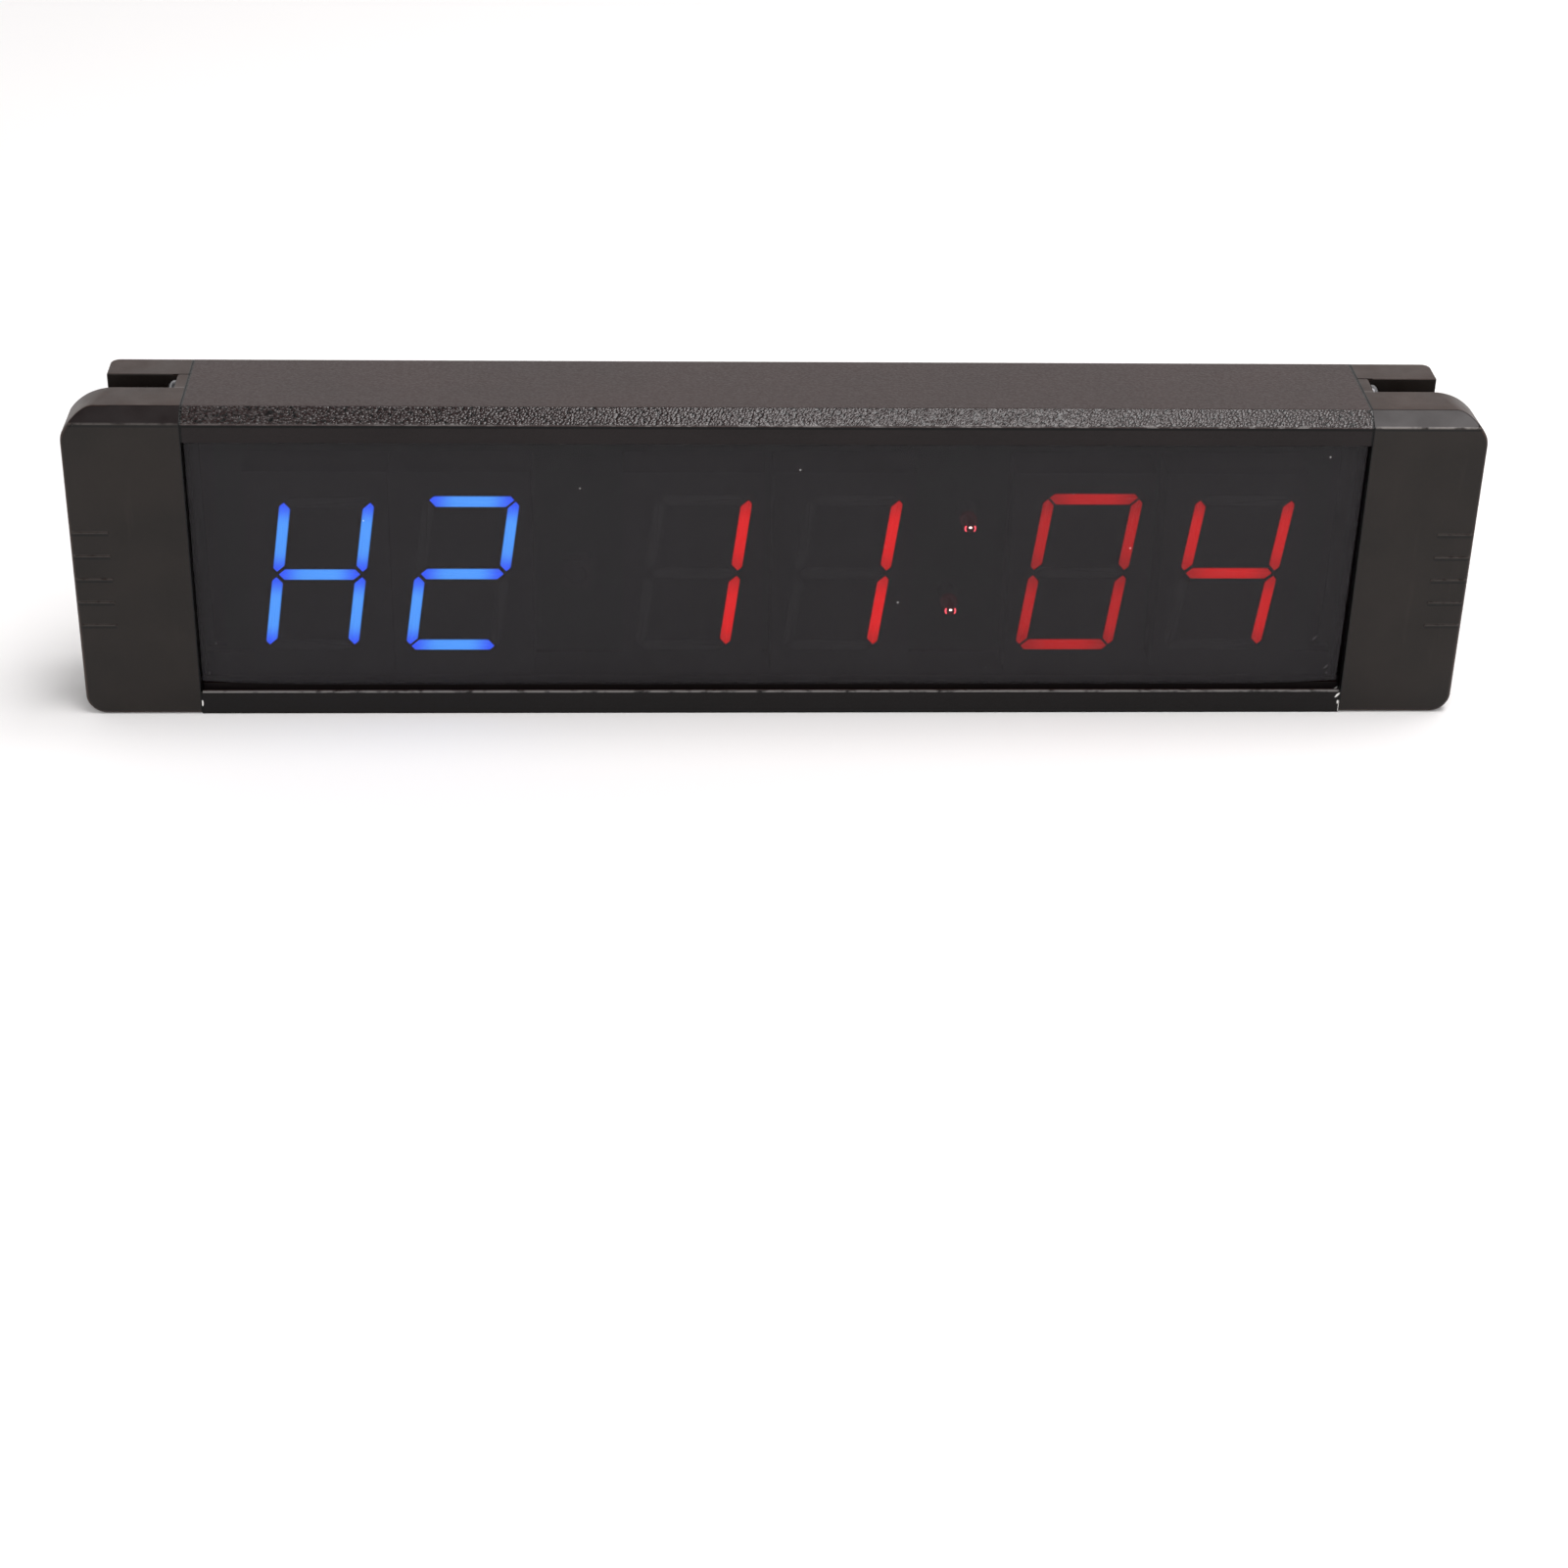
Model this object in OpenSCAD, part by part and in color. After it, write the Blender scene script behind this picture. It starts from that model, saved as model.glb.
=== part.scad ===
// Gym round timer: a long wall display with six seven-segment digits behind a dark
// window, an extruded metal body and two moulded end caps.
// Millimetres. Z up, front face towards -Y, length along X.
// Origin: centre of the bottom of the bounding box.

/* [Overall] */
// length over both end caps
overall_length = 301; // [200:1:500]
// height from the bottom to the top face
overall_height = 71.6; // [60:0.1:120]
// depth from the grip ribs on the front to the back plane
overall_depth = 28.5; // [24:0.1:60]

/* [Extruded body] */
// width of each end cap, measured from its seam
cap_width = 25; // [15:0.1:40]
// wall of the extrusion
wall = 1.5; // [1:0.1:3]
// thickness of the two front lips
lip_thickness = 0.9; // [0.6:0.1:2]
// height of the lip under the window
lower_lip = 5.6; // [3:0.1:12]
// height of the lip over the window, up to the chamfer
upper_lip = 4.3; // [3:0.1:12]
// depth of the bevel along the top front edge
bevel_depth = 3.9; // [1:0.05:8]
// height of the same bevel
bevel_height = 2.57; // [1:0.01:6]
// outside radius of the four screw ports
port_radius = 2.8; // [2:0.1:4]
// radius of the bore in a screw port
port_bore = 1.3; // [1:0.05:2]
// distance of the screw ports behind the front plane
port_depth = 17.2; // [10:0.1:22]
// distance of a port from the top or the bottom face
port_inset = 3.1; // [3:0.1:8]
// thickness of the web between a port and the nearest wall
port_web = 2.4; // [1:0.1:4]

/* [Window] */
// distance of the window behind the front plane
window_recess = 2; // [1:0.1:6]
// thickness of the window sheet
window_thickness = 1.5; // [1:0.1:3]
// height of the bottom edge of the window sheet, a little over the lip
window_low = 6.2; // [4:0.1:12]
// height of its top edge
window_high = 67.4; // [60:0.1:100]
// play at each end of the window sheet
window_end_gap = 0.3; // [0.1:0.1:2]
// overlap of the ribs and the window sheet
rib_overlap = 1.3; // [0.8:0.1:3]
// thickness of the ribs
rib_thickness = 0.75; // [0.5:0.05:2]
// distance of the seat under the sheet behind the sheet's front face
seat_step = 0.85; // [0.1:0.05:1.4]

/* [End caps] */
// how far the curve of the top outer corner runs in from the end
cap_top_reach = 10; // [6:0.1:14]
// how far the same curve runs down from the top
cap_top_drop = 7; // [5:0.1:12]
// radius of the bottom outer corner
cap_bottom_radius = 4.3; // [2:0.1:14]
// round on the outer edge of the front face
cap_edge_round = 1.1; // [0.4:0.1:2]
// depth of the front block
cap_front_depth = 13.3; // [8:0.1:20]
// width of the open channel behind the front block
channel_width = 6.9; // [4:0.1:12]
// wall between the channel and the extrusion
cap_inner_wall = 2.5; // [1.5:0.1:5]
// length of the rear lug, from the seam outwards
lug_length = 17.5; // [10:0.1:24]
// radius of the lug's outer rear edge
lug_round = 2; // [0.5:0.1:4]
// wall thickness of the moulding
cap_wall = 2.2; // [1.5:0.1:4]
// number of fine grip ribs on the front of each cap
grip_count = 5; // [1:1:9]
// spacing of the grip ribs
grip_pitch = 5.51; // [2:0.01:9]
// height of the underside of the lowest grip rib
grip_start = 21.6; // [10:0.1:40]
// distance of their inner ends from the end of the cap
grip_reach = 8.3; // [3:0.1:15]
// distance of their outer ends from the end of the cap
grip_margin = 0.8; // [0.5:0.1:2]
// height of a grip rib
grip_height = 0.5; // [0.2:0.1:1]
// how far the grip ribs stand out from the front plane
grip_rise = 0.2; // [0.1:0.05:0.5]
// length of the tongues that plug into the extrusion
tongue_length = 3; // [1:0.5:6]
// thickness of the rear tongue
rear_tongue = 2; // [1:0.1:4]
// distance of the rear tongue's ends from the top and the bottom
rear_tongue_inset = 14; // [5:1:25]
// thickness of the tongue on the bottom wall
foot_tongue = 1.5; // [1:0.1:3]
// play between the bottom tongue and the rib behind the window
foot_tongue_play = 0.4; // [0.1:0.1:1]
// gap between the bottom tongue and the board's plane
foot_tongue_gap = 2; // [1:0.1:4]
// width of the fine line where the lug begins
joint_line = 0.3; // [0.1:0.1:1]
// depth of the same line
joint_depth = 0.3; // [0.1:0.05:0.8]

/* [Wall keyholes] */
// radius of the round entry of a keyhole
keyhole_entry = 4.5; // [3:0.1:6]
// width of the slot above the entry
keyhole_slot = 4.5; // [3:0.1:6]
// distance from the entry's centre to the end of the slot
keyhole_rise = 9; // [5:0.5:15]
// depth of the whole pocket
keyhole_depth = 6; // [4:0.1:7]
// thickness of the plate that the screw head hooks behind
keyhole_plate = 2.5; // [1.5:0.1:4]
// height of the entry's centre
keyhole_z = 38; // [20:0.5:50]
// distance of a keyhole from the middle of the timer
keyhole_x = 134; // [128:0.1:140]

/* [Cap screws] */
// radius of a screw head
head_radius = 2.8; // [2:0.1:4]
// height of a screw head
head_height = 2; // [1:0.1:3]
// radius of the screw's shank
shank_radius = 1.25; // [1:0.05:2]
// length of the shank under the head
shank_length = 14; // [8:1:25]
// width of the cross recess
recess_width = 0.9; // [0.5:0.1:1.5]
// length of the cross recess
recess_length = 3.2; // [2:0.1:5]
// depth of the cross recess
recess_depth = 1.3; // [0.5:0.1:1.8]
// radius of the domed end of a head
head_dome = 3.2; // [2.9:0.1:6]
// play of a screw in its clearance hole, added to the port's bore
screw_play = 0.2; // [0.1:0.05:0.5]

/* [Digits] */
// width of one digit module
module_width = 30.4; // [20:0.1:40]
// height of one digit module
module_height = 48; // [40:0.1:60]
// depth of one digit module
module_depth = 10.5; // [6:0.1:14]
// height of the digits' centre line
digit_z = 32.6; // [20:0.1:50]
// width of an upright segment
upright_width = 2.5; // [1.5:0.1:5]
// height of a level segment
level_height = 2.7; // [1.5:0.1:5]
// play between segments at the corners
corner_play = 0.3; // [0.1:0.05:1]
// play between the uprights and the middle segment
middle_play = 0.9; // [0.3:0.05:2]
// thickness of a light diffuser
diffuser_thickness = 1.2; // [0.5:0.1:3]
// depth of the reflector well behind a diffuser
well_depth = 5; // [1:0.5:8]
// gap between the window sheet and the digits
digit_gap = 0.3; // [0.05:0.05:1]
// spacing of the leads in a row
pin_pitch = 2.54; // [2:0.01:5.08]
// distance of a row of leads from the digit's centre line
pin_row = 20; // [10:0.5:23]

/* [Colon and receiver] */
// middle of the colon
colon_x = 39.7; // [30:0.1:50]
// height of the middle of the colon
colon_z = 33.2; // [20:0.1:50]
// height between the two lamps of the colon
colon_spacing = 20; // [10:0.1:30]
// sideways step between the two lamps
colon_step = 3.3; // [0:0.1:8]
// radius of a colon lamp
lamp_radius = 1.5; // [1:0.1:3]
// length of a colon lamp, from the tip of its dome to its base
lamp_length = 5.3; // [4:0.1:9]
// width of the flange round the lamp's base
lamp_flange = 0.4; // [0.2:0.1:1]
// height of the flange
lamp_flange_height = 1; // [0.5:0.1:2]
// place of the remote-control receiver
receiver_x = -43.5; // [-60:0.1:-30]
// height of the receiver's centre
receiver_z = 31.4; // [15:0.1:50]
// width of the receiver
receiver_width = 6; // [4:0.1:9]
// height of the receiver
receiver_height = 6.8; // [4:0.1:9]
// thickness of the receiver without its lens
receiver_depth = 3.5; // [2:0.1:6]
// radius of the receiver's lens
receiver_lens = 2.3; // [1.5:0.1:3]
// distance of the receiver's flat face behind the front of the digits
receiver_step = 1.9; // [1.8:0.1:6]
// distance of the lens's centre behind that flat face
lens_sink = 0.5; // [0:0.1:2]

/* [Circuit board] */
// length of the board
board_length = 242; // [200:1:248]
// height of the board
board_height = 58; // [40:0.5:60]
// thickness of the board
board_thickness = 1.6; // [1:0.1:2]
// thickness of the rails that hold the board
rail_thickness = 1.1; // [0.8:0.1:2]
// overlap of the board and its rails
rail_overlap = 1.4; // [0.5:0.1:3]
// radius of a lead hole
lead_hole = 0.45; // [0.3:0.05:0.8]
// radius of a lead
lead_radius = 0.25; // [0.2:0.05:0.4]
// length of a lead behind the board
lead_stub = 1.3; // [0.5:0.1:2]
// width of the solder joint round a lead hole
solder_ring = 0.4; // [0.2:0.05:0.8]
// height of a solder joint
solder_height = 0.5; // [0.2:0.1:1]

/* [Parts on the back of the board] */
// controller: place along X, width, height, thickness
controller = [-18, 10, 10, 1.5]; // [-120:0.1:120]
// places of the two lamp drivers
driver_x = [16, 44]; // [-120:0.1:120]
// a lamp driver: width, height, thickness
driver = [18, 7.5, 2.4]; // [1:0.1:30]
// clock chip: place along X, width, height, thickness
clock = [72, 5, 4, 1.6]; // [-120:0.1:120]
// voltage regulator: place along X, width, height, thickness
regulator = [-84, 6.5, 3.6, 1.7]; // [-120:0.1:120]
// a digit's switching transistor: width, height, thickness
transistor = [2.9, 1.4, 1.1]; // [0.5:0.1:6]
// step from a digit's middle to its transistor, along X and Z
transistor_step = [8, 13]; // [-20:0.5:20]
// height of a chip's body over the board
standoff = 0.1; // [0.05:0.05:0.5]
// thickness of a chip's leads
chip_lead = 0.35; // [0.1:0.05:0.6]
// reach of a chip's leads beyond its body
chip_lead_reach = 1.2; // [0.5:0.1:2]
// watch crystal: place of its left end along X, distance over the digits' centre line
crystal_at = [69, 7]; // [-120:0.5:120]
// watch crystal: radius, length
crystal = [1, 6]; // [0.5:0.1:10]
// place of the coin cell along X
cell_x = 102; // [-120:0.5:110]
// coin cell: radius, thickness of the can, radius of its lid, thickness of the lid
cell = [10, 2.6, 9, 0.6]; // [0.2:0.1:16]
// coin cell holder: width, height, thickness, thickness of its floor
holder = [24, 23, 5, 1]; // [0.5:0.1:30]
// finger notch of the holder: distance from the cell's middle, height
holder_notch = [6, 10]; // [2:0.5:14]
// play of the coin cell in its holder
cell_play = 0.1; // [0.05:0.05:0.5]
// place of the buzzer along X
buzzer_x = -56; // [-120:0.5:120]
// buzzer: radius, height, radius of its sound hole, depth of the hole
buzzer_size = [6, 8.5, 1, 4.5]; // [0.5:0.1:12]
// power capacitors: place along X, distance from the digits' centre line
capacitor_at = [-70, 7]; // [-120:0.5:120]
// a power capacitor: radius, height, half width of its base, thickness of the base
capacitor = [3.15, 6, 3.3, 0.6]; // [0.2:0.05:10]
// row of resistors: first place, spacing, last place
resistor_row = [10, 4, 50]; // [-120:0.5:120]
// distance of the resistors below the digits' centre line
resistor_drop = 13; // [0:0.5:18]
// a resistor: width, height, thickness
resistor = [2, 1.2, 0.55]; // [0.2:0.05:4]

/* [Power inlet] */
// place of the socket
socket_x = -100; // [-115:1:115]
// height of the socket
socket_z = 33; // [20:1:45]
// outside width of the socket's shell
socket_width = 7.7; // [6:0.1:10]
// outside height of the shell
socket_height = 3.9; // [3:0.1:6]
// width of the opening in the rear wall
inlet_width = 10; // [8:0.1:14]
// height of the opening
inlet_height = 6.2; // [5:0.1:10]
// thickness of the socket's shell
socket_wall = 0.35; // [0.2:0.05:0.6]
// depth of the socket's solid foot on the board
socket_foot = 2; // [1:0.1:4]
// width of the contact tongue
insert_width = 4.4; // [3:0.1:6]
// thickness of the contact tongue
insert_thickness = 0.8; // [0.5:0.1:1.5]
// distance of the contact tongue inside the socket's mouth
insert_sink = 1; // [0.5:0.1:3]

/* [View] */
// node to show

/* [Hidden] */
$fn = 64;
eps = 0.05;

// middle of each digit at half its height: two round digits, two minutes, two seconds
digit_x = [-98.7, -68.1, -18.4, 13.9, 65.5, 98.5];
// the three pairs of digits differ a little in size and slant
// height of the middle of each digit's segments
segments_z = [32.2, 32.35, 32.6, 32.6, 32.8, 32.7];
// spacing of the two columns of segments
column_spacings = [17.7, 18.1, 18.5, 18.5, 19.1, 19.2];
// spacing of the top and bottom segments
row_spacings = [34.2, 34.5, 35, 35, 35.3, 35];
// slant of each digit, in degrees
slants = [8.2, 8.2, 7.2, 7.2, 6.6, 6.7];

front = grip_rise - overall_depth / 2;
rear = overall_depth / 2;
seam = overall_length / 2 - cap_width;
body_length = 2 * seam;
bevel_base = overall_height - bevel_height;
bevel_slope = bevel_height / bevel_depth;
bevel_inset = wall * sqrt(1 + bevel_slope * bevel_slope);
window_top = bevel_base - upper_lip;
window_front = front + window_recess;
window_rear = window_front + window_thickness;
digit_front = window_rear + digit_gap;
board_front = digit_front + module_depth;
board_rear = board_front + board_thickness;
inner_rear = rear - wall;
port_y = front + port_depth;
port_zs = [port_inset, overall_height - port_inset];
board_mid = overall_height / 2;
board_low = board_mid - board_height / 2;
board_high = board_mid + board_height / 2;
channel_front = front + cap_front_depth;
channel_rear = channel_front + channel_width;
tip = 0.38;
cap_out = overall_length / 2;
// room between the hollow of a cap and its top outer corner
corner_room = cap_top_drop / 3;
// the top outer corner's curve: a wide arc and a tight one, which meet where the curve
// faces this way
corner_turn = [0.8, 0.6];
corner_step = (cap_top_reach - cap_top_drop) / (corner_turn[0] + corner_turn[1] - 1);
corner_tight = cap_top_drop - corner_step * (1 - corner_turn[1]);
corner_wide = corner_tight + corner_step;
// the arcs of a cap's outer corners: centre, radius, and the way they face
cap_corners = [
    [[cap_out - cap_bottom_radius, cap_bottom_radius], cap_bottom_radius,
        [[0, -1], [1, -1], [1, 0]]],
    [[cap_out - corner_tight, overall_height - cap_top_drop], corner_tight,
        [[1, 0], corner_turn / corner_turn[0]]],
    [[cap_out - cap_top_reach, overall_height - corner_wide], corner_wide,
        [corner_turn / corner_turn[0], [1, 1], [0, 1]]]];

// a flat area that spreads from an arc's centre the way the arc faces, out to reach
function sector(reach, ways) = concat([[0, 0]], [for (w = ways) reach * w]);

// height of the inside of the bevel at depth y
function bevel_inside(y) = bevel_base + (y - front) * bevel_slope - bevel_inset;
// lean a point of a digit to the right with its height
function leant(p, slant) = [p[0] + tan(slant) * p[1], p[1]];
function flip_x(ps) = [for (p = ps) [-p[0], p[1]]];
function flip_y(ps) = [for (p = ps) [p[0], -p[1]]];

// the outlines of the segments of an upright digit, around its centre; c and r are half
// the spacings of its columns and rows
function top_segment(c, r) = let (a = tip * level_height, h = level_height / 2,
        e = -c + corner_play) [
    [e + h, r - h], [-e - h, r - h], [-e + h - a, r + h - a],
    [-e + h - 2 * a, r + h], [e - h + 2 * a, r + h], [e - h + a, r + h - a]];
function middle_segment(c) = let (h = level_height / 2, e = -c + 0.1) [
    [e, 0], [e + h, -h], [-e - h, -h], [-e, 0], [-e - h, h], [e + h, h]];
function upright_segment(c, r) = let (b = tip * upright_width, w = upright_width / 2,
        t = r - corner_play) [
    [-c + w, w + middle_play], [-c + w, t - w],
    [-c - w + b, t + w - b], [-c - w, t + w - 2 * b],
    [-c - w, middle_play - w + 2 * b], [-c - w + b, middle_play - w + b]];
// all seven, leaning as digit i does
function segment_outlines(i) = let (c = column_spacings[i] / 2, r = row_spacings[i] / 2,
        level = top_segment(c, r), upright = upright_segment(c, r)) [
    for (s = [level, middle_segment(c), flip_y(level), upright, flip_x(upright),
            flip_y(upright), flip_x(flip_y(upright))])
        [for (p = s) leant(p, slants[i])]];

// stand a flat drawing of x and z up, with its thickness running from y0 to y1
module along_y(y0, y1) {
    translate([0, y1, 0]) rotate([90, 0, 0]) linear_extrude(y1 - y0) children();
}

// a cylinder along Y
module pin_y(x, z, r, y0, y1, sides = 64) {
    translate([x, y1, z]) rotate([90, 0, 0]) cylinder(r = r, h = y1 - y0, $fn = sides);
}

// a block from its two corners
module block(a, b) {
    translate(a) cube(b - a);
}

module extrusion_profile() {
    difference() {
        polygon([[front, 0], [rear, 0], [rear, overall_height],
            [front + bevel_depth, overall_height], [front, bevel_base]]);
        polygon([[front + lip_thickness, wall], [inner_rear, wall],
            [inner_rear, overall_height - wall],
            [front + (overall_height - wall - bevel_inside(front)) / bevel_slope,
                overall_height - wall],
            [front + lip_thickness, bevel_inside(front + lip_thickness)]]);
        translate([front - 1, lower_lip])
            square([1 + lip_thickness + eps, window_top - lower_lip]);
    }
}

// a seat under the window sheet, a rib behind it, and a groove for its top edge
module window_ribs() {
    translate([window_front + seat_step, wall - eps])
        square([window_thickness - seat_step + rib_thickness, window_low - wall + eps]);
    translate([window_rear, window_low - eps]) square([rib_thickness, rib_overlap + eps]);
    difference() {
        translate([front + lip_thickness - eps, window_high - rib_overlap])
            square([window_rear + rib_thickness - front - lip_thickness + eps,
                overall_height]);
        translate([window_front, window_high - rib_overlap - 1])
            square([window_thickness, rib_overlap + 1]);
        // nothing of the ribs stands above the bevel
        polygon([[front, bevel_base - 0.5], [front, overall_height * 2],
            [rear, overall_height * 2], [rear, overall_height - 0.5],
            [front + bevel_depth, overall_height - 0.5]]);
    }
}

// rails that hold the board, hanging off the screw ports
module board_rails() {
    for (y = [board_front - rail_thickness, board_rear]) {
        translate([y, wall - eps])
            square([rail_thickness, board_low + rail_overlap - wall + eps]);
        translate([y, board_high - rail_overlap])
            square([rail_thickness,
                overall_height - wall + eps - board_high + rail_overlap]);
    }
}

module housing() {
    color([0.13, 0.13, 0.13])
    difference() {
        translate([-seam, 0, 0]) rotate([90, 0, 90]) linear_extrude(body_length)
            difference() {
                union() {
                    extrusion_profile();
                    window_ribs();
                    board_rails();
                    for (z = port_zs) translate([port_y, z]) circle(r = port_radius);
                    for (z = [wall - eps, overall_height - port_inset])
                        translate([port_y - port_web / 2, z])
                            square([port_web, port_inset - wall + eps]);
                }
                for (z = port_zs) translate([port_y, z]) circle(r = port_bore);
                translate([board_front, board_low])
                    square([board_thickness, board_height]);
            }
        block([socket_x - inlet_width / 2, inner_rear - 1, socket_z - inlet_height / 2],
            [socket_x + inlet_width / 2, rear + 1, socket_z + inlet_height / 2]);
    }
}

module window_panel() {
    color([0.05, 0.05, 0.055])
    block([-seam + window_end_gap, window_front, window_low],
        [seam - window_end_gap, window_rear, window_high]);
}

// outline of the right cap seen from the front
module cap_outline() {
    difference() {
        translate([seam, 0]) square([cap_width, overall_height]);
        for (c = cap_corners) translate(c[0]) difference() {
            polygon(sector(c[1] + 2, c[2]));
            circle(r = c[1]);
        }
    }
}

// what the round takes off an edge: a square corner less a quarter circle
module round_waste() {
    difference() {
        translate([-1, -1]) square([cap_edge_round + 1, cap_edge_round + 1]);
        translate([cap_edge_round, cap_edge_round]) circle(r = cap_edge_round);
    }
}

// the same waste swept along one arc of the outline
module corner_waste(c) {
    translate([c[0][0], front, c[0][1]]) intersection() {
        rotate([-90, 0, 0]) rotate_extrude()
            translate([c[1], 0]) mirror([1, 0]) round_waste();
        along_y(-2, cap_edge_round + 1) polygon(sector(c[1] + 2, c[2]));
    }
}

// material of the cap before the pockets are cut
module cap_solid() {
    difference() {
        along_y(front, channel_front + eps) cap_outline();
        // bevel carried on from the extrusion
        translate([seam - 1, 0, 0]) rotate([90, 0, 90]) linear_extrude(cap_width + 2)
            polygon([[front - 1, bevel_base - bevel_slope], [front - 1, overall_height + 1],
                [front + bevel_depth + 1 / bevel_slope, overall_height + 1]]);
        // round on the outer side, both corners and the bottom edge
        translate([cap_out, front, cap_bottom_radius])
            linear_extrude(overall_height - cap_bottom_radius - cap_top_drop)
            mirror([1, 0]) round_waste();
        for (c = cap_corners) corner_waste(c);
        translate([seam - 1, front, 0]) rotate([90, 0, 90])
            linear_extrude(cap_width + 1 - cap_bottom_radius) round_waste();
    }
    // wall that the screws clamp against the extrusion
    block([seam, channel_front, 0], [seam + cap_inner_wall, channel_rear, overall_height]);
    // rear lug
    difference() {
        block([seam, channel_rear - eps, 0], [seam + lug_length, rear, overall_height]);
        difference() {
            translate([seam + lug_length - lug_round, rear - lug_round, -1])
                cube([lug_round + 1, lug_round + 1, overall_height + 2]);
            translate([seam + lug_length - lug_round, rear - lug_round, -2])
                cylinder(r = lug_round, h = overall_height + 4);
        }
    }
}

// keyhole pocket in the rear face of the lug: round entry, slot and head path
module keyhole_cut() {
    y0 = rear - keyhole_depth;
    pin_y(keyhole_x, keyhole_z, keyhole_entry, y0, rear + 1);
    block([keyhole_x - keyhole_slot / 2, rear - keyhole_plate - eps, keyhole_z],
        [keyhole_x + keyhole_slot / 2, rear + 1, keyhole_z + keyhole_rise]);
    pin_y(keyhole_x, keyhole_z + keyhole_rise, keyhole_slot / 2,
        rear - keyhole_plate - eps, rear + 1);
    block([keyhole_x - keyhole_entry, y0, keyhole_z],
        [keyhole_x + keyhole_entry, rear - keyhole_plate, keyhole_z + keyhole_rise]);
    pin_y(keyhole_x, keyhole_z + keyhole_rise, keyhole_entry, y0, rear - keyhole_plate);
}

module cap() {
    difference() {
        cap_solid();
        // hollow of the front block, open towards the extrusion
        block([seam - 1, front + cap_wall, cap_wall + 1],
            [cap_out - cap_wall - corner_room, channel_front - cap_wall,
                bevel_base - cap_wall]);
        // clearance holes for the cap screws
        for (z = port_zs) translate([seam - 1, port_y, z]) rotate([0, 90, 0])
            cylinder(r = port_bore + screw_play, h = cap_inner_wall + 2);
        // fine line where the lug begins, in the top and bottom faces
        for (z = [-1, overall_height - joint_depth])
            block([seam - 1, channel_rear - joint_line / 2, z],
                [seam + cap_inner_wall + 1, channel_rear + joint_line / 2,
                    z + 1 + joint_depth]);
        keyhole_cut();
    }
    // fine grip ribs near the outer edge of the front face
    for (i = [0 : 1 : grip_count - 1])
        block([cap_out - grip_reach, front - grip_rise, grip_start + i * grip_pitch],
            [cap_out - grip_margin, front + cap_wall / 2,
                grip_start + i * grip_pitch + grip_height]);
    // tongues that plug into the extrusion
    block([seam - tongue_length, inner_rear - rear_tongue, rear_tongue_inset],
        [seam + eps, inner_rear, overall_height - rear_tongue_inset]);
    block([seam - tongue_length, window_rear + rib_thickness + foot_tongue_play, wall],
        [seam + eps, board_front - foot_tongue_gap, wall + foot_tongue]);
}

module right_end_cap() {
    color([0.2, 0.19, 0.18]) cap();
}

module left_end_cap() {
    color([0.2, 0.19, 0.18]) mirror([1, 0, 0]) cap();
}

// one pan-head screw along X, its head against the cap's inner wall
module cap_screw(z) {
    translate([seam + cap_inner_wall, port_y, z]) rotate([0, 90, 0]) difference() {
        union() {
            intersection() {
                cylinder(r = head_radius, h = head_height);
                translate([0, 0, head_height - head_dome]) sphere(r = head_dome);
            }
            translate([0, 0, -shank_length])
                cylinder(r = shank_radius, h = shank_length + eps);
        }
        for (a = [0, 90]) rotate([0, 0, a])
            translate([-recess_length / 2, -recess_width / 2, head_height - recess_depth])
                cube([recess_length, recess_width, recess_depth + 1]);
    }
}

module right_cap_screws() {
    color([0.75, 0.75, 0.76]) for (z = port_zs) cap_screw(z);
}

module left_cap_screws() {
    color([0.75, 0.75, 0.76]) mirror([1, 0, 0]) for (z = port_zs) cap_screw(z);
}

// places of a digit module's ten leads
pin_offsets = [for (s = [-1, 1], i = [-2 : 2]) [i * pin_pitch, s * pin_row]];
lamp_places = [for (s = [-1, 1])
    [colon_x + s * colon_step / 2, colon_z + s * colon_spacing / 2]];
lamp_lead_steps = [-pin_pitch / 2, pin_pitch / 2];
receiver_lead_steps = [-pin_pitch, 0, pin_pitch];
lamp_base = digit_front + lamp_length;
receiver_front = digit_front + receiver_step;
receiver_rear = receiver_front + receiver_depth;

module main_board() {
    color([0.05, 0.22, 0.12])
    difference() {
        block([-board_length / 2, board_front, board_low],
            [board_length / 2, board_rear, board_high]);
        for (x = digit_x, p = pin_offsets)
            pin_y(x + p[0], digit_z + p[1], lead_hole, board_front - 1, board_rear + 1, 24);
        for (p = lamp_places, s = lamp_lead_steps)
            pin_y(p[0] + s, p[1], lead_hole, board_front - 1, board_rear + 1, 24);
        for (s = receiver_lead_steps)
            pin_y(receiver_x + s, receiver_z, lead_hole, board_front - 1, board_rear + 1, 24);
    }
}

// shell of one digit module, with a well for each segment
module digit_body(i) {
    color([0.06, 0.06, 0.065])
    difference() {
        block([digit_x[i] - module_width / 2, digit_front, digit_z - module_height / 2],
            [digit_x[i] + module_width / 2, board_front, digit_z + module_height / 2]);
        translate([digit_x[i], 0, segments_z[i]]) for (s = segment_outlines(i))
            along_y(digit_front - 1, digit_front + well_depth) polygon(s);
    }
}

// seven light diffusers of one digit, flush with the face
module digit_segments(i) {
    translate([digit_x[i], 0, segments_z[i]]) for (s = segment_outlines(i))
        along_y(digit_front, digit_front + diffuser_thickness) polygon(s);
}

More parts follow.
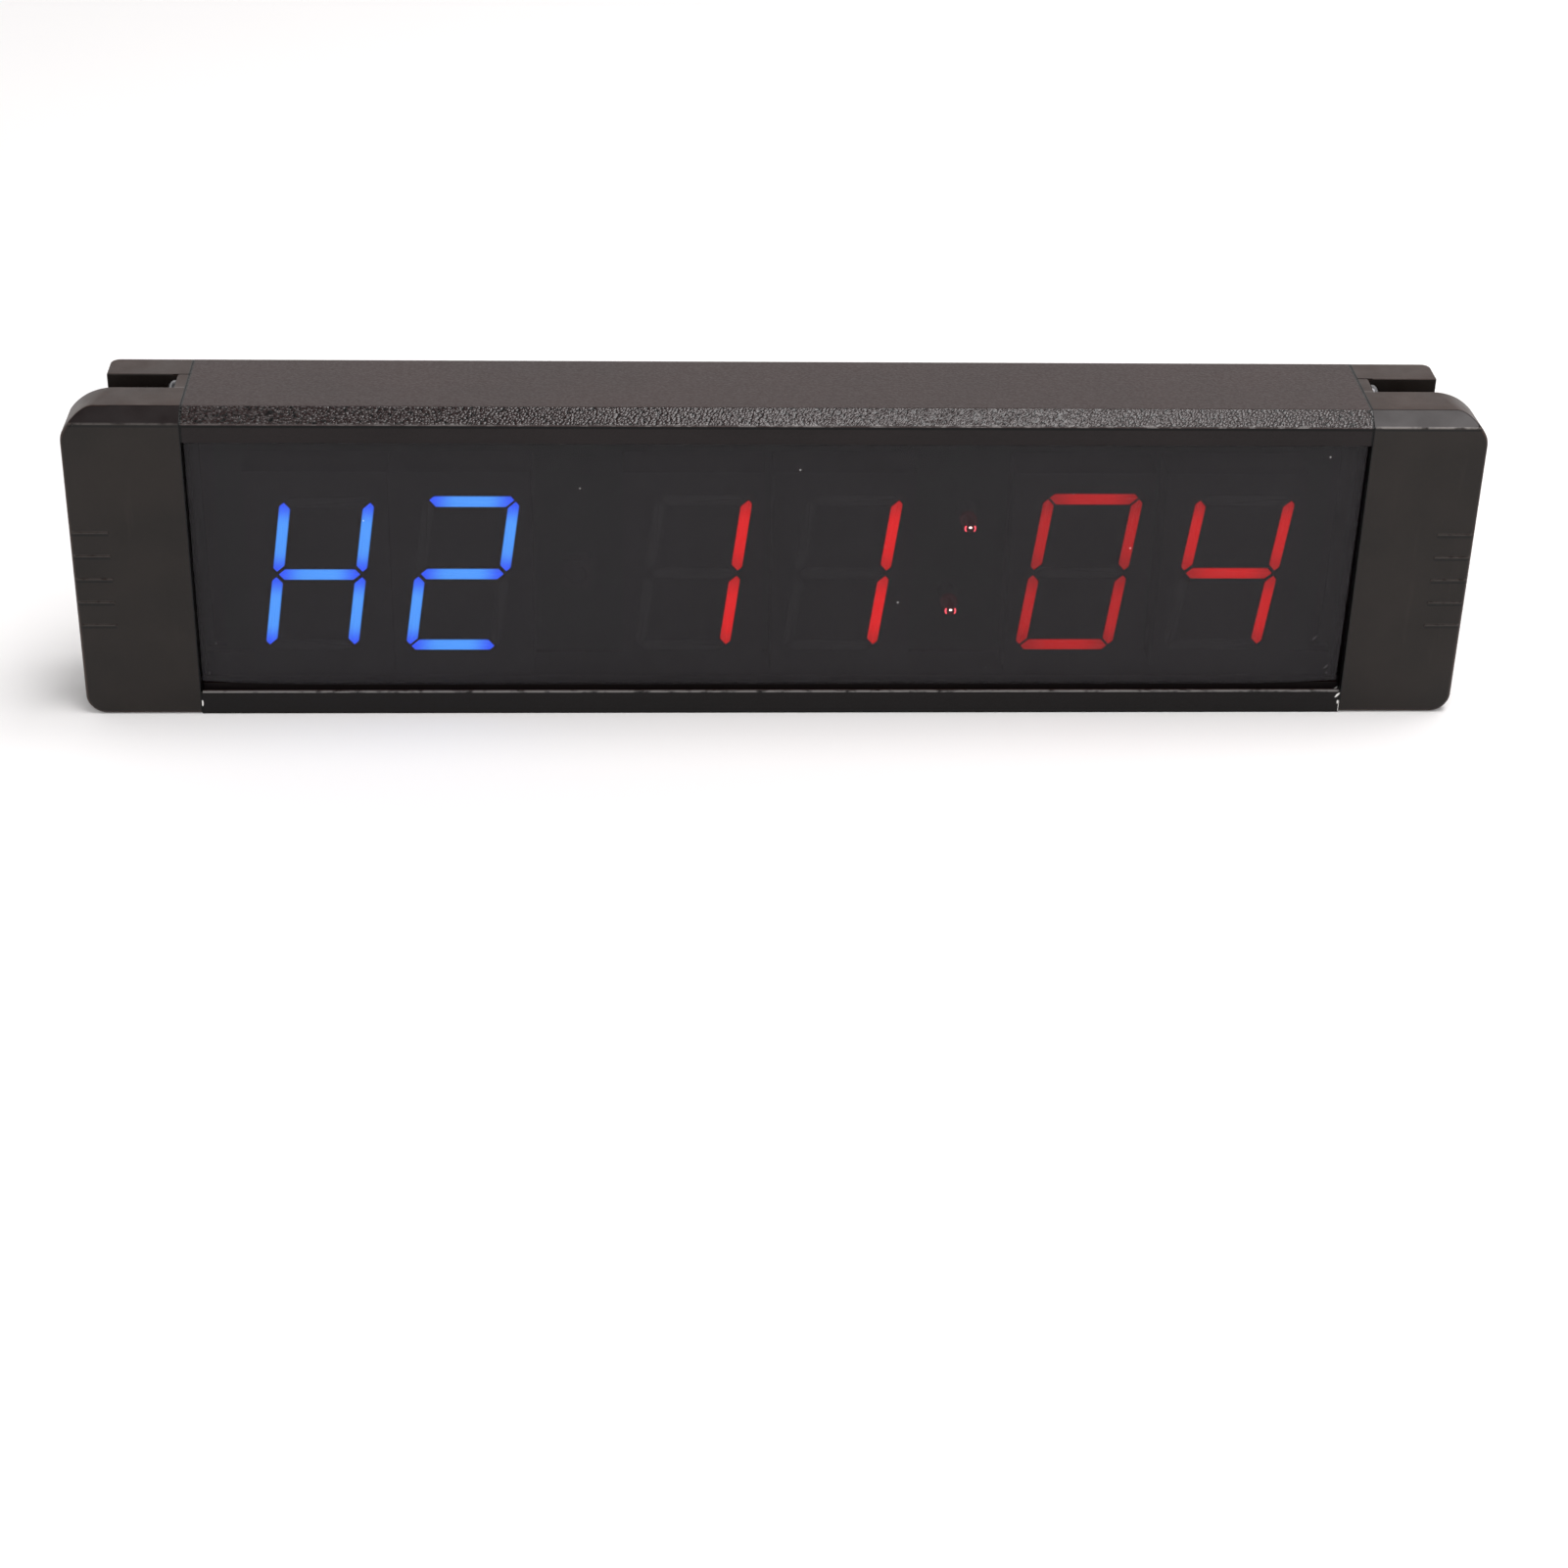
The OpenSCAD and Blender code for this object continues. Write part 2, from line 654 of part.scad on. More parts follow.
module digit_1_body() { digit_body(0); }
module digit_2_body() { digit_body(1); }
module digit_3_body() { digit_body(2); }
module digit_4_body() { digit_body(3); }
module digit_5_body() { digit_body(4); }
module digit_6_body() { digit_body(5); }
module digit_1_segments() { color([0.15, 0.4, 1]) digit_segments(0); }
module digit_2_segments() { color([0.15, 0.4, 1]) digit_segments(1); }
module digit_3_segments() { color([0.9, 0.1, 0.12]) digit_segments(2); }
module digit_4_segments() { color([0.9, 0.1, 0.12]) digit_segments(3); }
module digit_5_segments() { color([0.9, 0.1, 0.12]) digit_segments(4); }
module digit_6_segments() { color([0.9, 0.1, 0.12]) digit_segments(5); }

// a soldered lead: the wire through the board and its joint on the back
module soldered(x, z, y0) {
    pin_y(x, z, lead_radius, y0, board_rear + lead_stub, 24);
    pin_y(x, z, lead_hole + solder_ring, board_rear, board_rear + solder_height, 24);
}

module digit_pins() {
    color([0.75, 0.75, 0.76])
    for (x = digit_x, p = pin_offsets) soldered(x + p[0], digit_z + p[1], board_front);
}

module colon_lamps() {
    color([0.8, 0.05, 0.06])
    for (p = lamp_places) translate([p[0], lamp_base, p[1]]) rotate([90, 0, 0]) {
        cylinder(r = lamp_radius + lamp_flange, h = lamp_flange_height);
        cylinder(r = lamp_radius, h = lamp_length - lamp_radius);
        translate([0, 0, lamp_length - lamp_radius]) sphere(r = lamp_radius);
    }
}

module colon_spacers() {
    color([0.08, 0.08, 0.08])
    for (p = lamp_places) difference() {
        pin_y(p[0], p[1], lamp_radius + lamp_flange, lamp_base, board_front);
        for (s = lamp_lead_steps)
            pin_y(p[0] + s, p[1], lead_radius + eps, lamp_base - 1, board_front + 1, 24);
    }
}

module colon_leads() {
    color([0.75, 0.75, 0.76])
    for (p = lamp_places, s = lamp_lead_steps) soldered(p[0] + s, p[1], lamp_base);
}

module receiver() {
    color([0.07, 0.07, 0.08]) {
        block([receiver_x - receiver_width / 2, receiver_front,
                receiver_z - receiver_height / 2],
            [receiver_x + receiver_width / 2, receiver_rear,
                receiver_z + receiver_height / 2]);
        translate([receiver_x, receiver_front + lens_sink, receiver_z])
            sphere(r = receiver_lens);
    }
}

module receiver_leads() {
    color([0.75, 0.75, 0.76])
    for (s = receiver_lead_steps) soldered(receiver_x + s, receiver_z, receiver_rear);
}

// body of a flat chip on the back of the board; size holds width, height, thickness
module chip(x, z, size) {
    block([x - size[0] / 2, board_rear + standoff, z - size[1] / 2],
        [x + size[0] / 2, board_rear + standoff + size[2], z + size[1] / 2]);
}

// a row of flat leads along X, at the top and the bottom edge of a chip
module lead_rows(x, z, h, count, pitch, reach = chip_lead_reach) {
    for (i = [0 : 1 : count - 1], s = [-1, 1]) {
        px = x + (i - (count - 1) / 2) * pitch;
        z0 = z + s * h / 2;
        block([px - pitch / 5, board_rear, min(z0, z0 + s * reach)],
            [px + pitch / 5, board_rear + chip_lead, max(z0, z0 + s * reach)]);
    }
}

// the same along Z, at the two ends of a chip
module lead_columns(x, z, w, count, pitch, reach = chip_lead_reach) {
    for (i = [0 : 1 : count - 1], s = [-1, 1]) {
        pz = z + (i - (count - 1) / 2) * pitch;
        x0 = x + s * w / 2;
        block([min(x0, x0 + s * reach), board_rear, pz - pitch / 5],
            [max(x0, x0 + s * reach), board_rear + chip_lead, pz + pitch / 5]);
    }
}

function last3(v) = [v[1], v[2], v[3]];
transistor_x = [for (x = digit_x) x + transistor_step[0]];
transistor_z = digit_z + transistor_step[1];

module microcontroller() {
    color([0.1, 0.1, 0.1]) chip(controller[0], digit_z, last3(controller));
}

module lamp_drivers() {
    color([0.1, 0.1, 0.1]) for (x = driver_x) chip(x, digit_z, driver);
}

module clock_chip() {
    color([0.1, 0.1, 0.1]) chip(clock[0], digit_z, last3(clock));
}

module digit_transistors() {
    color([0.12, 0.12, 0.12]) for (x = transistor_x) chip(x, transistor_z, transistor);
}

module voltage_regulator() {
    color([0.1, 0.1, 0.1]) chip(regulator[0], digit_z, last3(regulator));
}

module chip_leads() {
    color([0.75, 0.75, 0.76]) {
        lead_rows(controller[0], digit_z, controller[2], 11, 0.8);
        lead_columns(controller[0], digit_z, controller[1], 11, 0.8);
        for (x = driver_x) lead_rows(x, digit_z, driver[1], 14, 1.27);
        lead_rows(clock[0], digit_z, clock[2], 4, 1.27);
        lead_rows(regulator[0], digit_z, regulator[2], 3, 2.3);
        for (x = transistor_x) lead_rows(x, transistor_z, transistor[1], 2, 1.9, 0.7);
    }
}

// a small watch crystal lying on the board
module clock_crystal() {
    color([0.7, 0.7, 0.72])
    translate([crystal_at[0], board_rear + crystal[0], digit_z + crystal_at[1]])
        rotate([0, 90, 0]) cylinder(r = crystal[0], h = crystal[1]);
}

module coin_cell_holder() {
    color([0.08, 0.08, 0.08])
    difference() {
        block([cell_x - holder[0] / 2, board_rear, digit_z - holder[1] / 2],
            [cell_x + holder[0] / 2, board_rear + holder[2], digit_z + holder[1] / 2]);
        pin_y(cell_x, digit_z, cell[0] + cell_play, board_rear + holder[3],
            board_rear + holder[2] + 1);
        block([cell_x + holder_notch[0], board_rear + holder[3],
                digit_z - holder_notch[1] / 2],
            [cell_x + holder[0] / 2 + 1, board_rear + holder[2] + 1,
                digit_z + holder_notch[1] / 2]);
    }
}

module coin_cell() {
    floor_y = board_rear + holder[3];
    color([0.78, 0.78, 0.8]) {
        pin_y(cell_x, digit_z, cell[2], floor_y, floor_y + cell[3]);
        pin_y(cell_x, digit_z, cell[0], floor_y + cell[3], floor_y + cell[3] + cell[1]);
    }
}

module buzzer() {
    top = board_rear + buzzer_size[1];
    color([0.07, 0.07, 0.07])
    difference() {
        pin_y(buzzer_x, digit_z, buzzer_size[0], board_rear, top);
        pin_y(buzzer_x, digit_z, buzzer_size[2], top - buzzer_size[3], top + 1);
    }
}

module capacitors() {
    foot = board_rear + capacitor[3];
    color([0.78, 0.78, 0.8])
    for (z = [digit_z - capacitor_at[1], digit_z + capacitor_at[1]]) {
        pin_y(capacitor_at[0], z, capacitor[0], foot, board_rear + capacitor[1]);
        block([capacitor_at[0] - capacitor[2], board_rear, z - capacitor[2]],
            [capacitor_at[0] + capacitor[2], foot, z + capacitor[2]]);
    }
}

module chip_resistors() {
    z = digit_z - resistor_drop;
    color([0.15, 0.15, 0.16])
    for (x = [resistor_row[0] : resistor_row[1] : resistor_row[2]])
        block([x - resistor[0] / 2, board_rear, z - resistor[1] / 2],
            [x + resistor[0] / 2, board_rear + resistor[2], z + resistor[1] / 2]);
}

// five-sided shell of the power socket, its mouth at the rear wall
module socket_outline(grow) {
    w = socket_width / 2 + grow;
    h = socket_height / 2 + grow;
    polygon([[-w, h], [-w, -h / 3], [-w + 1, -h], [w - 1, -h], [w, -h / 3], [w, h]]);
}

module socket_shell() {
    color([0.75, 0.75, 0.76])
    translate([socket_x, 0, socket_z]) difference() {
        along_y(board_rear, inner_rear) socket_outline(0);
        along_y(board_rear + socket_foot, inner_rear + 1) socket_outline(-socket_wall);
    }
}

module socket_insert() {
    color([0.06, 0.06, 0.06])
    block([socket_x - insert_width / 2, board_rear + socket_foot,
            socket_z - insert_thickness / 2],
        [socket_x + insert_width / 2, inner_rear - insert_sink,
            socket_z + insert_thickness / 2]);
}

housing();
window_panel();
left_end_cap();
right_end_cap();
left_cap_screws();
right_cap_screws();
main_board();
digit_1_body();
digit_2_body();
digit_3_body();
digit_4_body();
digit_5_body();
digit_6_body();
digit_1_segments();
digit_2_segments();
digit_3_segments();
digit_4_segments();
digit_5_segments();
digit_6_segments();
digit_pins();
colon_lamps();
colon_spacers();
colon_leads();
receiver();
receiver_leads();
microcontroller();
lamp_drivers();
clock_chip();
clock_crystal();
coin_cell();
coin_cell_holder();
buzzer();
voltage_regulator();
capacitors();
digit_transistors();
chip_leads();
chip_resistors();
socket_shell();
socket_insert();
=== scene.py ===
"""The looks of a gym round timer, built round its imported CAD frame."""
import math

import bmesh
import bpy
from mathutils import Matrix, Vector


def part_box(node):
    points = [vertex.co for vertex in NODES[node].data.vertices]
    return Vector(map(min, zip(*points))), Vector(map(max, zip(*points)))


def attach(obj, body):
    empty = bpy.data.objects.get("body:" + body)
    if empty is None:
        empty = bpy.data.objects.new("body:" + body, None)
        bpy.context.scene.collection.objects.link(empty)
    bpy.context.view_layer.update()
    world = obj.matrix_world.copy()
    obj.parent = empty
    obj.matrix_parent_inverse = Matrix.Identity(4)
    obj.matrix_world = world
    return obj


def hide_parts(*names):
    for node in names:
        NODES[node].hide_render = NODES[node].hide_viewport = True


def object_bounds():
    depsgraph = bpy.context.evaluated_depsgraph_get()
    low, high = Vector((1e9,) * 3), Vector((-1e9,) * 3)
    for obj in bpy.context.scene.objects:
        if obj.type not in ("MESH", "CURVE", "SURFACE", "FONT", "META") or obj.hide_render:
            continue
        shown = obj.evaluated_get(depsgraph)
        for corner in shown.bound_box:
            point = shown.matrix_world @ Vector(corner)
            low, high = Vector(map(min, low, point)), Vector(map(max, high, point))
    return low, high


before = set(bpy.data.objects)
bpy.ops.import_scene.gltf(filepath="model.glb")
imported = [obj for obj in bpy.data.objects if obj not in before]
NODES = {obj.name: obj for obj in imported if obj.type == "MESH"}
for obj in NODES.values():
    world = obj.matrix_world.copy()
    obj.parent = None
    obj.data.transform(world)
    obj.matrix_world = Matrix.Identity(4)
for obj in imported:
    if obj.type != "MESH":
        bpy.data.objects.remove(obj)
cad_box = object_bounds()

MM = 0.001
BODY = "root"

# the body: its front face, its ends where the caps join, its top, the lower lip's top edge
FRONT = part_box("housing")[0].y
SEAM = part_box("housing")[1].x
TOP = cad_box[1][2]
LIP_TOP = 5.6 * MM
# the bevel along the top front edge: where it starts at the front and ends at the top
BEVEL_FOOT, BEVEL_REAR = 69.03 * MM, -10.15 * MM
# the caps: outer ends, the open channel behind the front block, the wall beside the seam,
# the reach of the top outer corner along the top and down the end
CAP_END = cad_box[1][0]
CHANNEL_FRONT, CHANNEL_REAR, INNER_WALL = -0.75 * MM, 6.15 * MM, 2.5 * MM
CORNER_REACH, CORNER_DROP = 10 * MM, 7 * MM
# the caps' grip ribs: the painted shadow line under each, the foot of the lowest shadow line,
# the top of the highest rib, their pitch and height, and their inner ends
GRIP_SHADOW = 0.45 * MM
GRIP_LOW, GRIP_HIGH = 21.6 * MM - GRIP_SHADOW, 44.14 * MM
GRIP_PITCH, GRIP_HEIGHT = 5.51 * MM, 0.5 * MM
GRIP_END = CAP_END - 8.3 * MM

# ---------------------------------------------------------------- camera

# focal length and picture width in pixels, sensor width in millimetres
FOCAL_PX, IMAGE_PX, SENSOR = 3189.5, 1601, 36.0
PITCH, YAW, ROLL = (math.radians(a) for a in (30.765, 3.304, 1.5435))
CAMERA_AT = Vector((-32.3, -614.2, 339.6)) * MM


def add_camera():
    """The camera of the photo, as fitted to the timer's corners and segments."""
    ahead = Vector((math.sin(YAW) * math.cos(PITCH), math.cos(YAW) * math.cos(PITCH),
                    -math.sin(PITCH)))
    level = Vector((math.cos(YAW), -math.sin(YAW), 0))
    above = level.cross(ahead)
    right = level * math.cos(ROLL) + above * math.sin(ROLL)
    up = above * math.cos(ROLL) - level * math.sin(ROLL)
    data = bpy.data.cameras.new("camera")
    data.sensor_width = SENSOR
    data.lens = FOCAL_PX / IMAGE_PX * SENSOR
    data.clip_start = 0.01
    camera = bpy.data.objects.new("camera", data)
    turn = Matrix((right, up, -ahead)).transposed()
    camera.matrix_world = Matrix.Translation(CAMERA_AT) @ turn.to_4x4()
    bpy.context.scene.collection.objects.link(camera)
    bpy.context.scene.camera = camera


# ---------------------------------------------------------------- materials

def put(tree, socket, value):
    if isinstance(value, bpy.types.NodeSocket):
        tree.links.new(value, socket)
    elif socket.type == "RGBA" and len(value) == 3:
        socket.default_value = (*value, 1)
    else:
        socket.default_value = value


class Look:
    """One procedural material: a Principled shader and the nodes that feed it."""

    def __init__(self, name, **values):
        self.material = bpy.data.materials.new(name)
        self.material.use_nodes = True
        self.tree = self.material.node_tree
        self.shader = self.tree.nodes["Principled BSDF"]
        coords = self.tree.nodes.new("ShaderNodeTexCoord")
        self.place = coords.outputs["Object"]
        self.facing = coords.outputs["Normal"]
        self.set(**values)

    def set(self, **values):
        for key, value in values.items():
            put(self.tree, self.shader.inputs[key.replace("_", " ")], value)

    def node(self, kind, inputs=(), **settings):
        made = self.tree.nodes.new("ShaderNode" + kind)
        for key, value in settings.items():
            setattr(made, key, value)
        for key, value in dict(inputs).items():
            put(self.tree, made.inputs[key], value)
        return made

    def math(self, operation, *values, clamp=False):
        made = self.node("Math", enumerate(values), operation=operation, use_clamp=clamp)
        return made.outputs[0]

    def parts(self, vector):
        made = self.node("SeparateXYZ", {0: vector})
        return [made.outputs[i] for i in range(3)]

    def stretched(self, x, y, z):
        return self.node("Mapping", {"Vector": self.place, "Scale": (x, y, z)}).outputs[0]

    def noise(self, size, detail=2.0, rough=0.5, place=None):
        made = self.node("TexNoise", {"Vector": place or self.place, "Scale": 1 / size,
                                      "Detail": detail, "Roughness": rough})
        return made.outputs["Fac"]

    def warped(self, size, reach):
        """Places pushed about by a slow noise, so that cells don't look regular."""
        wander = self.node("TexNoise", {"Vector": self.place, "Scale": 1 / size})
        return self.node("VectorMath", {0: wander.outputs["Color"], 1: (reach,) * 3,
                                        2: self.place}, operation="MULTIPLY_ADD").outputs[0]

    def cells(self, size, place=None):
        """The distance to the nearest of many scattered points, about one per size."""
        inputs = {"Vector": place or self.place, "Scale": 1 / size, "Randomness": 1.0}
        return self.node("TexVoronoi", inputs, feature="F1").outputs["Distance"]

    def span(self, value, low, high, to_low=0.0, to_high=1.0, smooth=False):
        made = self.node("MapRange", {"Value": value, "From Min": low, "From Max": high,
                                      "To Min": to_low, "To Max": to_high},
                         interpolation_type="SMOOTHSTEP" if smooth else "LINEAR")
        return made.outputs[0]

    def mix(self, share, first, second):
        made = self.node("Mix", data_type="RGBA")
        colours = [s for s in made.inputs if s.type == "RGBA"]
        put(self.tree, made.inputs[0], share)
        put(self.tree, colours[0], first)
        put(self.tree, colours[1], second)
        return next(s for s in made.outputs if s.type == "RGBA")

    def times(self, first, *others):
        for value in others:
            first = self.math("MULTIPLY", first, value)
        return first

    def stain_or_light(self, colour, where, strength, stain_or_light):
        """The colour, covered to the given strength where the mask is 1 by staining, by a
        painted highlight or by painted shade.
        """
        return self.mix(self.math("MULTIPLY", where, strength), colour, stain_or_light)

    def band(self, value, middle, half):
        """1 where value lies within half of middle, fading to 0 at its edges."""
        off = self.math("ABSOLUTE", self.math("SUBTRACT", value, middle))
        return self.span(off, half, half * 0.6, smooth=True)

    def stroke(self, x, z, half_length, half_width, turn=0.0):
        """A ragged stroke on the front face, centred at x, z."""
        turned = self.node("Mapping", {
            "Vector": self.place, "Location": (x, 0, z), "Rotation": (0, turn, 0),
            "Scale": (half_width, 1, half_length)}, vector_type="TEXTURE").outputs[0]
        size = self.node("VectorMath", {0: turned}, operation="LENGTH").outputs["Value"]
        size = self.math("ADD", size, self.math("MULTIPLY", self.noise(0.5 * MM, 1), 0.5))
        return self.span(size, 1.3, 1.0)

    def bump(self, height, depth):
        inputs = {"Height": height, "Distance": depth, "Strength": 1.0}
        return self.node("Bump", inputs).outputs[0]


# colours painted on: black for painted shade in joints and under edges and ribs, light grey
# for painted highlights on plastic and on coat, bare metal where chipped
PAINTED_SHADE = (0.001, 0.001, 0.001)
PLASTIC_HIGHLIGHT = (0.2, 0.185, 0.175)
COAT_HIGHLIGHT = (0.25, 0.24, 0.235)
BARE = (0.72, 0.71, 0.69)


def scaled(tone, share, extra=0.0):
    return [min(1, c * share + extra) for c in tone]


def front_skin(look, y):
    """1 on the front face and on the rounded edges next to it."""
    return look.span(y, FRONT + 0.5 * MM, FRONT + 0.3 * MM)


def seam_and_bevel_shade(look, colour, near, x, z, half_line, strength, half_gap):
    """Painted shade: a dark line under the bevel's foot, and black in the joint where a cap
    meets the body.
    """
    under = look.times(look.band(z, BEVEL_FOOT - 0.5 * MM, half_line), near)
    colour = look.stain_or_light(colour, under, strength, PAINTED_SHADE)
    gap = look.band(look.math("ABSOLUTE", x), SEAM, half_gap)
    return look.mix(gap, colour, PAINTED_SHADE)


def leather_grain(look, slope):
    """Slanting raised flecks, deep on the bevel and shallow elsewhere. Returns the flecks."""
    grain, depth = 0.46 * MM, 0.12 * MM
    slanting = look.node("Mapping", {
        "Vector": look.warped(1.2 * MM, 0.5 * MM), "Rotation": (0, math.radians(-50), 0),
        "Scale": (2.0, 1, 1)}, vector_type="TEXTURE").outputs[0]
    pebble = look.math("SUBTRACT", 1, look.cells(grain, slanting))
    fine = look.noise(0.4 * MM, 3, 0.6)
    height = look.math("ADD", look.math("MULTIPLY", pebble, 1.2),
                       look.math("MULTIPLY", fine, 0.35))
    share = look.span(slope, 0, 1, 0.16, 1.0)
    look.set(Normal=look.bump(look.times(height, share), depth))
    return pebble


def end_chips(look, fy):
    """Bare metal where the coat has chipped off the lower lip's ends."""
    chips = look.stroke(-SEAM + 0.15 * MM, 2.7 * MM, 0.75 * MM, 0.28 * MM)
    for at_x, at_z, length, width, turn in (
            (SEAM - 0.6 * MM, 4.4 * MM, 0.8 * MM, 0.25 * MM, 0.75),
            (SEAM - 0.35 * MM, 2.7 * MM, 0.5 * MM, 0.22 * MM, 0.0),
            (SEAM - 0.05 * MM, 1.5 * MM, 1.6 * MM, 0.12 * MM, 0.0)):
        chips = look.math("MAXIMUM", chips, look.stroke(at_x, at_z, length, width, turn))
    return look.times(chips, look.span(fy, -0.5, -0.7))


def coat_look(name, tone, shine, rough, crest_glint=0.16):
    """Black leather-grain powder coat: deep on the bevel, shallow on the flat faces, chipped
    at its bottom end corners; with painted glints on the bevel's grain, painted shade on the
    bevel, in the grain's hollows, in the joints and low on the front, and painted highlights
    along its front edges."""
    look = Look(name, Specular_IOR_Level=shine)
    x, y, z = look.parts(look.place)
    _, fy, fz = look.parts(look.facing)
    slope = look.times(look.span(fz, 0.6, 0.75, smooth=True),
                       look.span(fz, 0.97, 0.92, smooth=True))
    pebble = leather_grain(look, slope)
    blotch = look.span(look.noise(22 * MM, 3), 0.35, 0.65)
    drawn = look.noise(1.0 * MM, 3, 0.6, look.stretched(0.03, 1, 1))
    colour = look.mix(blotch, scaled(tone, 0.88), scaled(tone, 1.12))
    colour = look.mix(look.span(drawn, 0.3, 0.7, 0, 0.4), colour, scaled(tone, 1.3))
    # painted shade: the sloping bevel toned darker than the flat faces
    colour = look.stain_or_light(colour, slope, 0.8, (0.014, 0.006, 0.006))
    # painted glints: light flecks on the grain's crests
    highlit_crest = look.times(look.span(pebble, 0.64, 0.78), slope)
    colour = look.stain_or_light(colour, highlit_crest, 0.9, (crest_glint, crest_glint * 0.9, crest_glint * 0.9))
    # painted shade: near black in the hollows between the grain's pebbles
    root = look.times(look.span(pebble, 0.42, 0.3), slope)
    colour = look.mix(root, colour, (0.002, 0.002, 0.002))

    near = front_skin(look, y)
    gaps = look.noise(1.1 * MM, 2, 0.6, look.stretched(0.45, 1, 1))
    # painted shade: the lower lip's front darker than the rest of the front
    low_front_shade = look.times(look.span(z, LIP_TOP + MM, LIP_TOP), near)
    colour = look.stain_or_light(colour, low_front_shade, 0.65, PAINTED_SHADE)
    # painted highlight: a broken light line along the lower lip's top edge
    foot = look.times(look.band(z, LIP_TOP - 0.12 * MM, 0.3 * MM), near,
                      look.span(gaps, 0.3, 0.5))
    colour = look.stain_or_light(colour, foot, 0.6, COAT_HIGHLIGHT)
    # painted highlight: a broken light line along the bevel's foot, stronger to the right
    # where more light falls
    edge = look.times(look.band(z, BEVEL_FOOT + 0.02 * MM, 0.26 * MM), near,
                      look.span(gaps, 0.48, 0.6))
    more_to_the_right = look.span(x, -SEAM, SEAM * 0.3, 0.12, 0.45)
    colour = look.stain_or_light(colour, edge, more_to_the_right, (0.25, 0.235, 0.23))
    colour = seam_and_bevel_shade(look, colour, near, x, z, 0.32 * MM, 0.95, 0.5 * MM)
    look.set(Base_Color=look.mix(end_chips(look, fy), colour, BARE))
    uneven = look.span(look.noise(0.6 * MM, 2), 0.3, 0.7, rough - 0.05, rough + 0.07)
    look.set(Roughness=look.math("SUBTRACT", uneven, look.math("MULTIPLY", slope, 0.12)))
    return look.material


def cap_painted_light(look, colour):
    """Painted light on a cap: painted highlights along its bevel's foot, its top edge and the
    grip ribs' tops, painted shade in its seam, under its bevel's foot and under the ribs.
    """
    x, y, z = look.parts(look.place)
    near = front_skin(look, y)
    # painted highlight along the bevel's foot, stronger to the right
    foot = look.times(look.band(z, BEVEL_FOOT, 0.24 * MM), near,
                      look.span(look.noise(2 * MM, 2), 0.3, 0.55))
    colour = look.stain_or_light(colour, foot, look.span(x, -SEAM, SEAM, 0.2, 0.7), PLASTIC_HIGHLIGHT)
    # painted highlight along the front block's rear top edge
    ridge_highlight = look.times(look.band(y, CHANNEL_FRONT, 0.3 * MM),
                       look.span(z, TOP - 0.5 * MM, TOP - 0.3 * MM))
    colour = look.stain_or_light(colour, ridge_highlight, 0.3, PLASTIC_HIGHLIGHT)
    colour = seam_and_bevel_shade(look, colour, near, x, z, 0.3 * MM, 0.8, 0.3 * MM)
    row = look.math("MODULO", look.math("SUBTRACT", z, GRIP_LOW), GRIP_PITCH)
    wall = look.times(look.span(y, FRONT + 0.2 * MM, FRONT + 0.1 * MM),
                      look.span(look.math("ABSOLUTE", x), GRIP_END, GRIP_END + 0.1 * MM),
                      look.span(z, GRIP_LOW, GRIP_LOW + 0.1 * MM),
                      look.span(z, GRIP_HIGH + 0.3 * MM, GRIP_HIGH + 0.2 * MM))
    # painted highlight on the grip ribs' tops
    highlit_crest = look.times(look.band(row, GRIP_HEIGHT + GRIP_SHADOW, 0.28 * MM), wall,
                       look.span(look.noise(1.2 * MM, 2), 0.3, 0.5))
    colour = look.stain_or_light(colour, highlit_crest, 0.12, PLASTIC_HIGHLIGHT)
    # painted shadow under each grip rib
    rib_shadow = look.times(look.band(row, GRIP_SHADOW / 2, 0.34 * MM), wall)
    return look.stain_or_light(colour, rib_shadow, 0.9, PAINTED_SHADE)


def moulding_look(name, tone, size, rough, grain=0.02, shine=0.4, with_painted_light=False):
    """A moulded plastic: fine spark-eroded grain (its depth in millimetres), faint blotches
    and rubs, uneven gloss; where asked, also a cap's painted highlights and painted shade."""
    look = Look(name, Specular_IOR_Level=shine)
    patch = 16 * MM
    look.set(Normal=look.bump(look.noise(size, 3, 0.6), grain * MM))
    blotch = look.span(look.noise(patch, 3), 0.35, 0.65)
    colour = look.mix(blotch, scaled(tone, 0.82), scaled(tone, 1.18))
    rub = look.span(look.noise(patch / 5, 3, 0.6, look.stretched(1, 1, 0.12)), 0.6, 0.8)
    colour = look.stain_or_light(colour, rub, 0.35, scaled(tone, 2, 0.004))
    specks = look.span(look.noise(size * 2.2, 2), 0.62, 0.75)
    colour = look.stain_or_light(colour, specks, 0.5, scaled(tone, 1.9))
    if with_painted_light:
        colour = cap_painted_light(look, colour)
    look.set(Base_Color=colour,
             Roughness=look.span(look.noise(patch / 3, 3), 0.3, 0.7, rough - 0.05,
                                 rough + 0.06))
    return look.material


def window_look(name, alpha, tone):
    """Satin smoked sheet with a faint haze, scattered dust specks and fainter motes."""
    look = Look(name, Alpha=alpha, Specular_IOR_Level=0.23)
    haze = look.span(look.noise(30 * MM, 3), 0.35, 0.65)
    colour = look.mix(haze, tone, scaled(tone, 1.1))
    dusty_places = look.span(look.noise(17 * MM, 0), 0.4, 0.46)
    speck = look.times(look.span(look.cells(7 * MM), 0.034, 0.02), dusty_places)
    mote = look.span(look.cells(3.1 * MM), 0.05, 0.03)
    colour = look.stain_or_light(colour, mote, 0.1, (0.3, 0.3, 0.31))
    look.set(Base_Color=look.mix(speck, colour, (0.5, 0.49, 0.48)),
             Roughness=look.span(look.noise(5 * MM, 3), 0.3, 0.7, 0.36, 0.44),
             Normal=look.bump(look.noise(4 * MM, 2), 0.006 * MM))
    return look.material


